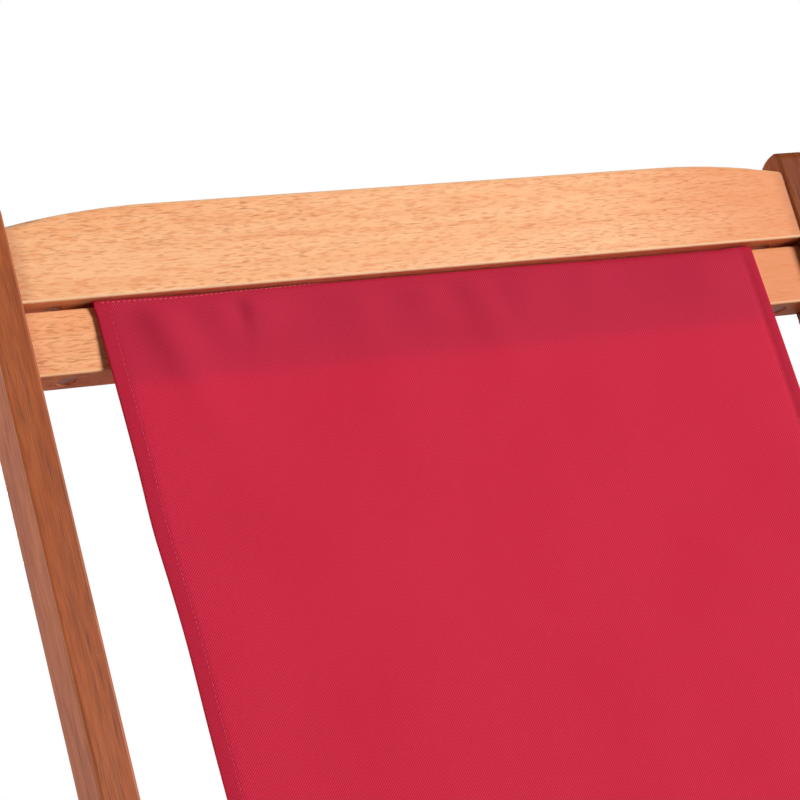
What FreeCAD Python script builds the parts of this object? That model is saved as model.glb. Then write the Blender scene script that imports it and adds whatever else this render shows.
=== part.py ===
import FreeCAD
import Part
import Sketcher
import math
import os
import re

# Folding wooden deck chair with a cloth sling, three hinged frames one inside the other.
# Millimetres, +Z up, the front of the chair towards -Y, origin under the middle of the chair on the floor.
# The back frame is outermost, the prop frame lies next to it and the seat frame is innermost.
# In each frame's own axes X runs across the chair, Y along the stiles
# and Z out of the face that the sitter leans on.

DRIVING = {
    # Widths across the chair
    "back_inner_width": 530, "back_stile_thick": 22, "prop_stile_thick": 16, "seat_stile_thick": 20,
    "layer_gap": 2, "sling_side_gap": 3, "head_rod_overhang": 9, "knee_rod_overhang": 1,
    # Side view, measured from the seat pivot along each stile
    "back_lean": 59, "stile_depth": 32, "stile_arris": 2, "foot_flat_cut": 1.5,
    "foot_reach": 300, "head_reach": 840, "rear_reach": 686, "knee_reach": 300,
    # Head of the back frame
    "head_rail_height": 54.9, "crown_rise": 43.6, "head_rail_flat": 350, "shoulder_radius": 480,
    "crown_front_radius": 6, "crown_flat": 2,
    "rail_setback": 1.5, "rail_arris": 3, "crisp_arris": 1.5, "slot_width": 3,
    "sling_rail_height": 38.4, "sling_rail_recess": 7,
    # Knee end, foot rail and rear stretcher
    "knee_rail_width": 40, "knee_rail_inset": 4,
    "foot_rail_height": 44, "foot_rail_thick": 20, "foot_rail_rise": 105,
    "stretcher_width": 40, "stretcher_thick": 20, "stretcher_inset": 46, "stretcher_drop": 3,
    # Prop frame, and the notches that its bar rests in
    "prop_pivot_reach": 200, "prop_depth": 32, "bar_radius": 10, "rest_gap": 0.3,
    "notch_depth": 5, "notch_inset": 171, "notch_pitch": 45, "notch_count": 4,
    "notch_before": 9.3, "notch_after": 13.2,
    # Sling and its rods
    "cloth_thick": 1.2, "rod_radius": 5, "cloth_gap": 0.3, "slot_bend_radius": 4.5,
    "sling_lean": 3, "sling_dip": 6, "knee_straight": 17.8, "sling_stand_off": 2.5,
    # Connector bolts with barrel nuts
    "joint_bolt_radius": 3, "joint_head_radius": 7.5, "joint_head_thick": 2, "joint_socket_radius": 2.9,
    "joint_socket_depth": 1.4, "joint_height": 18.5, "knee_joint_height": 12.5, "fit_play": 0.05,
    "nut_radius": 6, "nut_place": 22.5, "nut_recess": 1, "nut_beyond": 6, "bolt_beyond": 9,
    # Pivot bolts
    "pivot_bolt_radius": 4, "pivot_head_radius": 9, "pivot_head_thick": 4, "pivot_play": 0.3,
    "washer_radius": 11, "washer_thick": 1.5, "spacer_radius": 10, "cap_nut_radius": 7.5, "cap_nut_height": 6,
    "cap_dome_radius": 5.5, "prop_head_radius": 8, "prop_head_thick": 3.5,
    "pivot_socket_depth": 3, "prop_socket_depth": 2.5,
    # Screws of the foot rail and pins of the prop bar
    "screw_radius": 2.25, "screw_head_radius": 4.5, "screw_head_thick": 2.4, "screw_bite": 20,
    "screw_spread": 12, "pin_radius": 2, "pin_inset": 1,
}

# Places worked out from the driving sizes, in the order in which they build on each other
DERIVED = {
    "half_depth": "stile_depth / 2",
    "back_half": "back_inner_width / 2",
    "back_face": "back_half + back_stile_thick",
    "prop_face": "back_half - layer_gap",
    "prop_inner": "prop_face - prop_stile_thick",
    "seat_face": "prop_inner - layer_gap",
    "seat_half": "seat_face - seat_stile_thick",
    "sling_width": "2 * (seat_half - sling_side_gap)",
    "seat_slope": "asin(foot_reach * sin(back_lean * 1deg) / rear_reach) / 1deg",
    "pivot_z": "half_depth - foot_flat_cut + foot_reach * sin(back_lean * 1deg)",
    "pivot_y": "(knee_reach - rear_reach) * cos(seat_slope * 1deg) / 2",
    "spread": "back_lean + seat_slope",
    "prop_y": "pivot_y + prop_pivot_reach * cos(back_lean * 1deg)",
    "prop_z": "pivot_z + prop_pivot_reach * sin(back_lean * 1deg)",
    "foot_rail_place": "foot_reach - foot_rail_rise",
    "stretcher_place": "rear_reach - stretcher_inset",
    "notch_first": "rear_reach - notch_inset",
    "bar_rise": "half_depth - notch_depth + bar_radius + rest_gap",
    "bar_run": "notch_first - prop_pivot_reach * cos(spread * 1deg)",
    "bar_fall": "prop_pivot_reach * sin(spread * 1deg) - bar_rise",
    "prop_length": "sqrt(bar_run * bar_run + bar_fall * bar_fall)",
    "prop_slope": "seat_slope + atan(bar_fall / bar_run) / 1deg",
    "crown_top": "head_reach + half_depth",
    "crown_rear_radius": "stile_depth - crown_front_radius - crown_flat",
    "head_edge": "head_reach - crown_rise",
    "head_slot": "head_edge - slot_width / 2",
    "sling_rail_top": "head_edge - slot_width",
    "knee_front": "knee_reach + half_depth - knee_rail_inset",
    "knee_edge": "knee_front - knee_rail_width",
    "knee_slot": "knee_edge - slot_width / 2",
    "knee_sling_edge": "knee_edge - slot_width",
    "rail_deep": "stile_depth - rail_setback",
    "sling_rail_deep": "stile_depth - sling_rail_recess",
    "cloth_front": "half_depth - sling_rail_recess + sling_stand_off",
    "sleeve_radius": "rod_radius + cloth_gap + cloth_thick",
    "sleeve_reach": "sleeve_radius + cloth_gap + rail_arris",
    "arris_reach": "slot_width / 2 + rail_arris",
    "rod_back": "sqrt(sleeve_reach ^ 2 - arris_reach ^ 2) - rail_arris",
    "rod_depth": "half_depth + rod_back",
    "joint_reach": "nut_place + bolt_beyond",
}

doc = FreeCAD.newDocument("deck_chair")
dims = doc.addObject("Spreadsheet::Sheet", "dims")
nodes = []


def cells(text):
    """The expression with each size's name led to its cell in the sheet."""
    return re.sub(r"[a-z_]+", lambda m: "dims." + m.group() if m.group() in aliases else m.group(), text)


def fill_sheet():
    """Writes the driving sizes as plain numbers and the worked-out places as formulas."""
    rows = [(name, str(value)) for name, value in DRIVING.items()]
    rows += [(name, "=" + formula) for name, formula in DERIVED.items()]
    for row, (name, text) in enumerate(rows, start=1):
        dims.set("A%d" % row, name)
        dims.set("B%d" % row, text)
        dims.setAlias("B%d" % row, name)
    doc.recompute()
    return {name for name, _ in rows}


aliases = fill_sheet()


def size(name):
    """Present value of one cell."""
    return float(getattr(dims, name))


def bind(thing, **sizes):
    """Binds properties of an object to expressions of the sheet's cells."""
    for name, text in sizes.items():
        thing.setExpression(name, cells(text))
    return thing


# Placements of the three frames, at the seat pivot and at the prop pivot
BACK = "placement(vector(0; pivot_y; pivot_z); rotation(vector(1; 0; 0); back_lean))"
SEAT = "placement(vector(0; pivot_y; pivot_z); rotation(vector(1; 0; 0); -seat_slope))"
PROP = "placement(vector(0; prop_y; prop_z); rotation(vector(1; 0; 0); -prop_slope))"
RIGHT, LEFT = 1, -1
SIDES = {"left": LEFT, "right": RIGHT}
# How far a drill runs past the face that it opens, and the length under which an edge counts as none
OVER = "1"
TINY = 1e-6


def node(label, shape_object, frame):
    """Names a finished sub-part and sets it in its frame."""
    shape_object.Label = label
    bind(shape_object, Placement=frame)
    nodes.append(shape_object)
    return shape_object


def primitive(kind, name, where, **sizes):
    """Part primitive with bound sizes and place."""
    return bind(doc.addObject("Part::" + kind, name), Placement=where, **sizes)


def across(side, start, along, out):
    """Placement of something that runs outwards along X on one side of the chair."""
    return ("placement(vector(%d * (%s); %s; %s); rotation(vector(0; 1; 0); %d))"
            % (side, start, along, out, 90 * side))


def cylinder_across(name, side, radius, start, length, along, out):
    """Cylinder along X that starts at a distance from the middle of the chair."""
    return primitive("Cylinder", name, across(side, start, along, out), Radius=radius, Height=length)


def through(name, side, radius, start, length, along, out):
    """Drill along X that opens both faces of a piece which starts at a distance from the middle."""
    return cylinder_across(name, side, radius, "%s - %s" % (start, OVER), "%s + 2 * %s" % (length, OVER),
                           along, out)


def hexagon_across(name, side, radius, start, length, along, out):
    """Six-sided prism along X; the radius is to its corners."""
    prism = primitive("Prism", name, across(side, start, along, out), Circumradius=radius, Height=length)
    prism.Polygon = 6
    return prism


def cylinder_out(name, radius, start, length, x, along, turn=0):
    """Cylinder along the frame's own Z, upwards from start, or downwards when turned by 180."""
    where = "placement(vector(%s; %s; %s); rotation(vector(1; 0; 0); %d))" % (x, along, start, turn)
    return primitive("Cylinder", name, where, Radius=radius, Height=length)


def cylinder_along(name, radius, x, start, length, out):
    """Cylinder along the frame's own Y."""
    where = "placement(vector(%s; %s; %s); rotation(vector(1; 0; 0); -90))" % (x, start, out)
    return primitive("Cylinder", name, where, Radius=radius, Height=length)


def fuse(name, parts):
    """One solid, or set of tools, from several."""
    joined = doc.addObject("Part::MultiFuse", name)
    joined.Shapes = parts
    joined.Refine = True
    return joined


def cut(name, base, tool):
    """The base with the tool taken away."""
    result = doc.addObject("Part::Cut", name)
    result.Base = base
    result.Tool = tool
    return result


def group(name, parts):
    """Separate solids that share one node."""
    bundle = doc.addObject("Part::Compound", name)
    bundle.Links = parts
    return bundle


def drilled(name, base, tools):
    """The base with all its holes."""
    return cut(name, base, fuse(name + "_holes", tools) if len(tools) > 1 else tools[0])


def new_sketch(body, name, role):
    """Sketch on one of the body's own origin planes."""
    plane = next(f for f in body.Origin.OriginFeatures if f.Role == role)
    sketch = body.newObject("Sketcher::SketchObject", name)
    sketch.AttachmentSupport = (plane, [""])
    sketch.MapMode = "FlatFace"
    return sketch


def dimension(sketch, name, constraint, text):
    """Adds a sketch dimension and binds it."""
    index = sketch.addConstraint(constraint)
    sketch.renameConstraint(index, name)
    sketch.setExpression("Constraints." + name, cells(text))


def round_edges(body, name, base, radius, wanted):
    """Rounds the edges of the base that a test picks out."""
    doc.recompute()
    edges = ["Edge%d" % (i + 1) for i, edge in enumerate(base.Shape.Edges) if wanted(edge)]
    fillet = body.newObject("PartDesign::Fillet", name)
    fillet.Base = (base, edges)
    return bind(fillet, Radius=radius)


def runs_across(edge):
    """Whether an edge runs along X."""
    first, last = edge.Vertexes[0].Point, edge.Vertexes[-1].Point
    return abs(abs((last - first).x) - edge.Length) < TINY


def lies_across(edge):
    """Whether an edge lies in a plane square to X."""
    return edge.BoundBox.XLength < TINY


def at_end(edge, half):
    """Whether an edge lies in the end face of a rail."""
    return lies_across(edge) and abs(abs(edge.BoundBox.XMin) - half) < TINY


def runs_low(edge, rail):
    """Whether an edge runs along the lower side of a rail."""
    return runs_across(edge) and edge.BoundBox.YMax < rail.Shape.BoundBox.YMin + TINY


def round_rail(body, name, rail, wanted, crisp):
    """Rounds the edges of a rail that a test picks out, but less those that a second test picks out."""
    eased = round_edges(body, name + "_arrises", rail, "rail_arris", lambda edge: wanted(edge) and not crisp(edge))
    round_edges(body, name + "_crisp_arrises", eased, "crisp_arris", crisp)


def padded_stile(body, name, sketch, thick):
    """Pads the outline of a stile along +X and rounds its arrises."""
    pad = body.newObject("PartDesign::Pad", name + "_pad")
    pad.Profile = sketch
    bind(pad, Length=thick)
    round_edges(body, name + "_arrises", pad, "stile_arris", lies_across)
    return body


def stile_body(name, start, finish, depth, thick):
    """Bar with full-round ends: its outline in the YZ plane, padded along +X, arrises rounded."""
    body = doc.addObject("PartDesign::Body", name)
    sketch = new_sketch(body, name + "_outline", "YZ_Plane")
    half = size(depth) / 2
    low, high = -size(start) if start else 0.0, size(finish)
    vector = FreeCAD.Vector
    up = vector(0, 0, 1)
    quarter = math.pi / 2
    sketch.addGeometry(Part.LineSegment(vector(low, half, 0), vector(high, half, 0)))
    sketch.addGeometry(Part.ArcOfCircle(Part.Circle(vector(high, 0, 0), up, half), -quarter, quarter))
    sketch.addGeometry(Part.LineSegment(vector(high, -half, 0), vector(low, -half, 0)))
    sketch.addGeometry(Part.ArcOfCircle(Part.Circle(vector(low, 0, 0), up, half), quarter, 3 * quarter))
    for ends in ((0, 2, 1, 2), (1, 1, 2, 1), (2, 2, 3, 2), (3, 1, 0, 1)):
        sketch.addConstraint(Sketcher.Constraint("Tangent", *ends))
    sketch.addConstraint(Sketcher.Constraint("Horizontal", 0))
    sketch.addConstraint(Sketcher.Constraint("PointOnObject", 1, 3, -1))
    sketch.addConstraint(Sketcher.Constraint("Equal", 1, 3))
    dimension(sketch, "end_radius", Sketcher.Constraint("Radius", 1, half), depth + " / 2")
    dimension(sketch, "finish", Sketcher.Constraint("DistanceX", -1, 1, 1, 3, high), finish)
    if start:
        dimension(sketch, "start", Sketcher.Constraint("DistanceX", 3, 3, -1, 1, -low), start)
    else:
        sketch.addConstraint(Sketcher.Constraint("PointOnObject", 3, 3, -2))
    return padded_stile(body, name, sketch, thick)


def crowned_stile_body(name):
    """Back stile: a full-round foot, and a crown with a small corner in front and a large one behind."""
    body = doc.addObject("PartDesign::Body", name)
    sketch = new_sketch(body, name + "_outline", "YZ_Plane")
    half, low, top = size("half_depth"), -size("foot_reach"), size("crown_top")
    front, rear = size("crown_front_radius"), size("crown_rear_radius")
    vector = FreeCAD.Vector
    up = vector(0, 0, 1)
    quarter = math.pi / 2
    sketch.addGeometry(Part.LineSegment(vector(low, half, 0), vector(top - front, half, 0)))
    corner = Part.Circle(vector(top - front, half - front, 0), up, front)
    sketch.addGeometry(Part.ArcOfCircle(corner, 0, quarter))
    sketch.addGeometry(Part.LineSegment(vector(top, half - front, 0), vector(top, rear - half, 0)))
    shoulder = Part.Circle(vector(top - rear, rear - half, 0), up, rear)
    sketch.addGeometry(Part.ArcOfCircle(shoulder, -quarter, 0))
    sketch.addGeometry(Part.LineSegment(vector(top - rear, -half, 0), vector(low, -half, 0)))
    sketch.addGeometry(Part.ArcOfCircle(Part.Circle(vector(low, 0, 0), up, half), quarter, 3 * quarter))
    for ends in ((0, 2, 1, 2), (1, 1, 2, 1), (2, 2, 3, 2), (3, 1, 4, 1), (4, 2, 5, 2), (5, 1, 0, 1)):
        sketch.addConstraint(Sketcher.Constraint("Tangent", *ends))
    for way, line in (("Horizontal", 0), ("Vertical", 2), ("Horizontal", 4)):
        sketch.addConstraint(Sketcher.Constraint(way, line))
    sketch.addConstraint(Sketcher.Constraint("PointOnObject", 5, 3, -1))
    dimension(sketch, "foot_radius", Sketcher.Constraint("Radius", 5, half), "half_depth")
    dimension(sketch, "front_radius", Sketcher.Constraint("Radius", 1, front), "crown_front_radius")
    dimension(sketch, "rear_radius", Sketcher.Constraint("Radius", 3, rear), "crown_rear_radius")
    dimension(sketch, "foot", Sketcher.Constraint("DistanceX", 5, 3, -1, 1, -low), "foot_reach")
    dimension(sketch, "top", Sketcher.Constraint("DistanceX", -1, 1, 2, 1, top), "crown_top")
    return padded_stile(body, name, sketch, "back_stile_thick")


def notched(body, name):
    """Cuts the row of notches into the upper edge of a seat stile."""
    sketch = new_sketch(body, name + "_notch", "YZ_Plane")
    first, top = size("notch_first"), size("half_depth")
    low, high = first - size("notch_before"), first + size("notch_after")
    floor, above = top - size("notch_depth"), top + size("notch_depth")
    corners = [FreeCAD.Vector(y, z, 0) for y, z in ((low, floor), (high, floor), (high, above), (low, above))]
    for i in range(4):
        sketch.addGeometry(Part.LineSegment(corners[i], corners[(i + 1) % 4]))
    for i in range(4):
        sketch.addConstraint(Sketcher.Constraint("Coincident", i, 2, (i + 1) % 4, 1))
        sketch.addConstraint(Sketcher.Constraint("Vertical" if i % 2 else "Horizontal", i))
    for key, way, line, end, value, formula in (
            ("low", "DistanceX", 0, 1, low, "notch_first - notch_before"),
            ("high", "DistanceX", 0, 2, high, "notch_first + notch_after"),
            ("floor", "DistanceY", 0, 1, floor, "half_depth - notch_depth"),
            ("above", "DistanceY", 2, 1, above, "half_depth + notch_depth")):
        dimension(sketch, key, Sketcher.Constraint(way, -1, 1, line, end, value), formula)
    pocket = body.newObject("PartDesign::Pocket", name + "_first_notch")
    pocket.Profile = sketch
    pocket.Type = "ThroughAll"
    pocket.Reversed = True
    doc.recompute()
    row = body.newObject("PartDesign::LinearPattern", name + "_notches")
    row.Originals = [pocket]
    row.Direction = (sketch, ["H_Axis"])
    bind(row, Length="notch_pitch * (notch_count - 1)", Occurrences="notch_count")
    body.Tip = row


def rail_body(name, low, wide, deep, half, crisp=False):
    """Straight rail between two stiles, its rear face flush with theirs; a crisp one has sharper lower edges."""
    body = doc.addObject("PartDesign::Body", name)
    bar = body.newObject("PartDesign::AdditiveBox", name + "_bar")
    bind(bar, Length="2 * (%s)" % half, Width=wide, Height=deep,
         Placement="placement(vector(-(%s); %s; -half_depth); rotation(vector(1; 0; 0); 0))" % (half, low))
    if crisp:
        round_rail(body, name, bar, runs_across, lambda edge: runs_low(edge, bar))
    else:
        round_edges(body, name + "_arrises", bar, "rail_arris", runs_across)
    return body


def head_rail_body(name):
    """Head rail: straight below, flat on top in the middle, falling in an arc to each stile."""
    body = doc.addObject("PartDesign::Body", name)
    sketch = new_sketch(body, name + "_outline", "XY_Plane")
    sketch.setExpression("AttachmentOffset.Base.y", cells("head_edge"))
    sketch.setExpression("AttachmentOffset.Base.z", cells("-half_depth"))
    half, flat, high = size("back_half"), size("head_rail_flat") / 2, size("head_rail_height")
    radius = size("shoulder_radius")
    turn = math.asin((half - flat) / radius)
    end = high - radius * (1 - math.cos(turn))
    vector = FreeCAD.Vector
    up = vector(0, 0, 1)
    quarter = math.pi / 2
    sketch.addGeometry(Part.LineSegment(vector(-half, 0, 0), vector(half, 0, 0)))
    sketch.addGeometry(Part.LineSegment(vector(half, 0, 0), vector(half, end, 0)))
    circle = Part.Circle(vector(flat, high - radius, 0), up, radius)
    sketch.addGeometry(Part.ArcOfCircle(circle, quarter - turn, quarter))
    sketch.addGeometry(Part.LineSegment(vector(flat, high, 0), vector(-flat, high, 0)))
    circle = Part.Circle(vector(-flat, high - radius, 0), up, radius)
    sketch.addGeometry(Part.ArcOfCircle(circle, quarter, quarter + turn))
    sketch.addGeometry(Part.LineSegment(vector(-half, end, 0), vector(-half, 0, 0)))
    for ends in ((0, 2, 1, 1), (1, 2, 2, 1), (4, 2, 5, 1), (5, 2, 0, 1)):
        sketch.addConstraint(Sketcher.Constraint("Coincident", *ends))
    for ends in ((2, 2, 3, 1), (3, 2, 4, 1)):
        sketch.addConstraint(Sketcher.Constraint("Tangent", *ends))
    sketch.addConstraint(Sketcher.Constraint("Vertical", 1))
    sketch.addConstraint(Sketcher.Constraint("Vertical", 5))
    sketch.addConstraint(Sketcher.Constraint("Horizontal", 0))
    sketch.addConstraint(Sketcher.Constraint("Symmetric", 0, 1, 0, 2, -1, 1))
    sketch.addConstraint(Sketcher.Constraint("Symmetric", 3, 1, 3, 2, -2))
    sketch.addConstraint(Sketcher.Constraint("Equal", 2, 4))
    dimension(sketch, "shoulder", Sketcher.Constraint("Radius", 2, radius), "shoulder_radius")
    dimension(sketch, "wide", Sketcher.Constraint("DistanceX", 0, 1, 0, 2, 2 * half), "back_inner_width")
    dimension(sketch, "flat", Sketcher.Constraint("DistanceX", 3, 2, 3, 1, 2 * flat), "head_rail_flat")
    dimension(sketch, "high", Sketcher.Constraint("DistanceY", -1, 1, 3, 1, high), "head_rail_height")
    pad = body.newObject("PartDesign::Pad", name + "_pad")
    pad.Profile = sketch
    bind(pad, Length="rail_deep")
    round_rail(body, name, pad, lambda edge: edge.BoundBox.ZLength < TINY and not at_end(edge, half),
               lambda edge: runs_low(edge, pad) and edge.BoundBox.ZMin > pad.Shape.BoundBox.ZMax - TINY)
    return body


def joint_tools(name, half, along, out):
    """Bores for the two bolts at the ends of a rail, past its barrel nuts."""
    return [cylinder_across("%s_%s_bore" % (name, word), side, "joint_bolt_radius + fit_play",
                            half + " - joint_reach - fit_play", "joint_reach + fit_play + " + OVER,
                            along, out)
            for word, side in SIDES.items()]


def joint_bolts(name, half, thick, along, out, sunk):
    """Two flat-headed connector bolts with hexagon sockets; sunk is how deep the heads sit in the stiles."""
    bolts = []
    for word, side in SIDES.items():
        label = "%s_%s" % (name, word)
        seat = "%s + %s - %s" % (half, thick, sunk)
        shank = cylinder_across(label + "_shank", side, "joint_bolt_radius", half + " - joint_reach",
                                "joint_reach + %s - %s" % (thick, sunk), along, out)
        head = cylinder_across(label + "_head", side, "joint_head_radius", seat, "joint_head_thick",
                               along, out)
        socket = hexagon_across(label + "_socket", side, "joint_socket_radius",
                                seat + " + joint_head_thick - joint_socket_depth", "joint_socket_depth",
                                along, out)
        bolts.append(cut(label, fuse(label + "_blank", [shank, head]), socket))
    return bolts


def stile_joint_tools(name, side, half, thick, along, out, sunk):
    """Bolt hole through a stile, with a recess for the head where it is sunk."""
    tools = [through(name + "_hole", side, "joint_bolt_radius + fit_play", half, thick, along, out)]
    if sunk != "0":
        tools.append(cylinder_across(name + "_recess", side, "joint_head_radius + fit_play",
                                     "%s + %s - %s" % (half, thick, sunk), sunk + " + " + OVER, along, out))
    return tools


def barrel_nuts_up(name, half, base, height, out):
    """Two barrel nuts that enter a head rail from its lower edge, each with its cross hole."""
    nuts, holes = [], []
    for word, side in SIDES.items():
        label = "%s_%s" % (name, word)
        x = "%d * (%s - nut_place)" % (side, half)
        barrel = cylinder_along(label + "_barrel", "nut_radius", x, base + " + nut_recess",
                                height + " + nut_beyond - nut_recess", out)
        thread = cylinder_across(label + "_thread", side, "joint_bolt_radius + fit_play",
                                 half + " - 2 * nut_place", "2 * nut_place", "%s + %s" % (base, height), out)
        nuts.append(cut(label, barrel, thread))
        holes.append(cylinder_along(label + "_seat", "nut_radius + fit_play", x, base + " - " + OVER,
                                    height + " + nut_beyond + fit_play + " + OVER, out))
    return nuts, holes


def barrel_nuts_out(name, half, along, base, height):
    """Two barrel nuts that enter a rail from its rear face, each with its cross hole."""
    nuts, holes = [], []
    for word, side in SIDES.items():
        label = "%s_%s" % (name, word)
        x = "%d * (%s - nut_place)" % (side, half)
        barrel = cylinder_out(label + "_barrel", "nut_radius", base + " + nut_recess",
                              height + " + nut_beyond - nut_recess", x, along)
        thread = cylinder_across(label + "_thread", side, "joint_bolt_radius + fit_play",
                                 half + " - 2 * nut_place", "2 * nut_place",
                                 along, "%s + %s" % (base, height))
        nuts.append(cut(label, barrel, thread))
        holes.append(cylinder_out(label + "_seat", "nut_radius + fit_play", base + " - " + OVER,
                                  height + " + nut_beyond + fit_play + " + OVER, x, along))
    return nuts, holes


def rounded_path(points, radii):
    """Straight legs joined by tangent arcs, in the YZ plane."""
    edges = []
    start = points[0]
    for before, corner, after, radius in zip(points, points[1:], points[2:], radii):
        into, out = (corner - before).normalize(), (after - corner).normalize()
        turn = into.getAngle(out)
        trim = radius * math.tan(turn / 2)
        first, last = corner - into * trim, corner + out * trim
        middle = corner + (out - into).normalize() * (radius / math.cos(turn / 2) - radius)
        edges.append(Part.LineSegment(start, first).toShape())
        edges.append(Part.Arc(first, middle, last).toShape())
        start = last
    edges.append(Part.LineSegment(start, points[-1]).toShape())
    return edges


def offset_path(points, radii, aside):
    """The same path moved sideways, with its arcs kept concentric."""
    across_x = FreeCAD.Vector(1, 0, 0)
    ways = [(b - a).normalize() for a, b in zip(points, points[1:])]
    normals = [across_x.cross(way) for way in ways]
    moved = [points[0] + normals[0] * aside]
    grown = []
    for corner, before, after, normal, radius in zip(points[1:], ways, ways[1:], normals, radii):
        half = before.getAngle(after) / 2
        inner = 1 if across_x.dot(before.cross(after)) > 0 else -1
        moved.append(corner + normal * aside - before * (aside * inner * math.tan(half)))
        grown.append(radius - aside * inner)
    moved.append(points[-1] + normals[-1] * aside)
    return rounded_path(moved, grown)


def sling_shape():
    """Cloth from the head rod's sleeve through the slots, down the back, round the seat to the knee rod."""
    lean, slope = math.radians(size("back_lean")), math.radians(size("seat_slope"))
    pivot = FreeCAD.Vector(0, size("pivot_y"), size("pivot_z"))
    up_back = FreeCAD.Vector(0, math.cos(lean), math.sin(lean))
    off_back = FreeCAD.Vector(0, -math.sin(lean), math.cos(lean))
    to_knee = FreeCAD.Vector(0, -math.cos(slope), math.sin(slope))
    off_seat = FreeCAD.Vector(0, math.sin(slope), math.cos(slope))
    front, rod = size("cloth_front"), size("rod_depth")
    head = pivot + up_back * size("head_slot")
    knee = pivot + to_knee * size("knee_slot")
    head_rod, head_corner = head - off_back * rod, head + off_back * front
    knee_rod, knee_corner = knee - off_seat * rod, knee + off_seat * front
    forward, rise = math.radians(size("sling_lean")), math.radians(size("sling_dip"))
    down = off_back * math.sin(forward) - up_back * math.cos(forward)
    rear = off_seat * math.sin(rise) - to_knee * math.cos(rise)
    gap = knee_corner - head_corner
    reach = (gap.y * rear.z - gap.z * rear.y) / (down.y * rear.z - down.z * rear.y)
    sag_corner = head_corner + down * reach
    wall = size("cloth_thick")
    middle = size("rod_radius") + size("cloth_gap") + wall / 2
    points = [head_rod + off_back * middle, head_corner, sag_corner, knee_corner,
              knee_rod + off_seat * middle]
    bend = size("slot_bend_radius")
    seat_leg = knee_corner - sag_corner
    sag_radius = (seat_leg.Length - size("knee_straight")) / math.tan(down.getAngle(seat_leg) / 2)
    radii = [bend, sag_radius, bend]
    near, far = offset_path(points, radii, wall / 2), offset_path(points, radii, -wall / 2)
    caps = [Part.LineSegment(a.Vertexes[i].Point, b.Vertexes[i].Point).toShape()
            for a, b, i in ((near[0], far[0], 0), (near[-1], far[-1], -1))]
    outline = Part.Wire(Part.sortEdges(near + far + caps)[0])
    width = size("sling_width")
    side = FreeCAD.Vector(-width / 2, 0, 0)
    sheet = Part.Face(outline).extrude(FreeCAD.Vector(width, 0, 0)).translated(side)
    along = FreeCAD.Vector(1, 0, 0)
    sleeves = [Part.makeCylinder(size("sleeve_radius"), width, centre + side, along).cut(
        Part.makeCylinder(size("sleeve_radius") - wall, width, centre + side, along))
        for centre in (head_rod, knee_rod)]
    return sheet.fuse(sleeves).removeSplitter()


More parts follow.
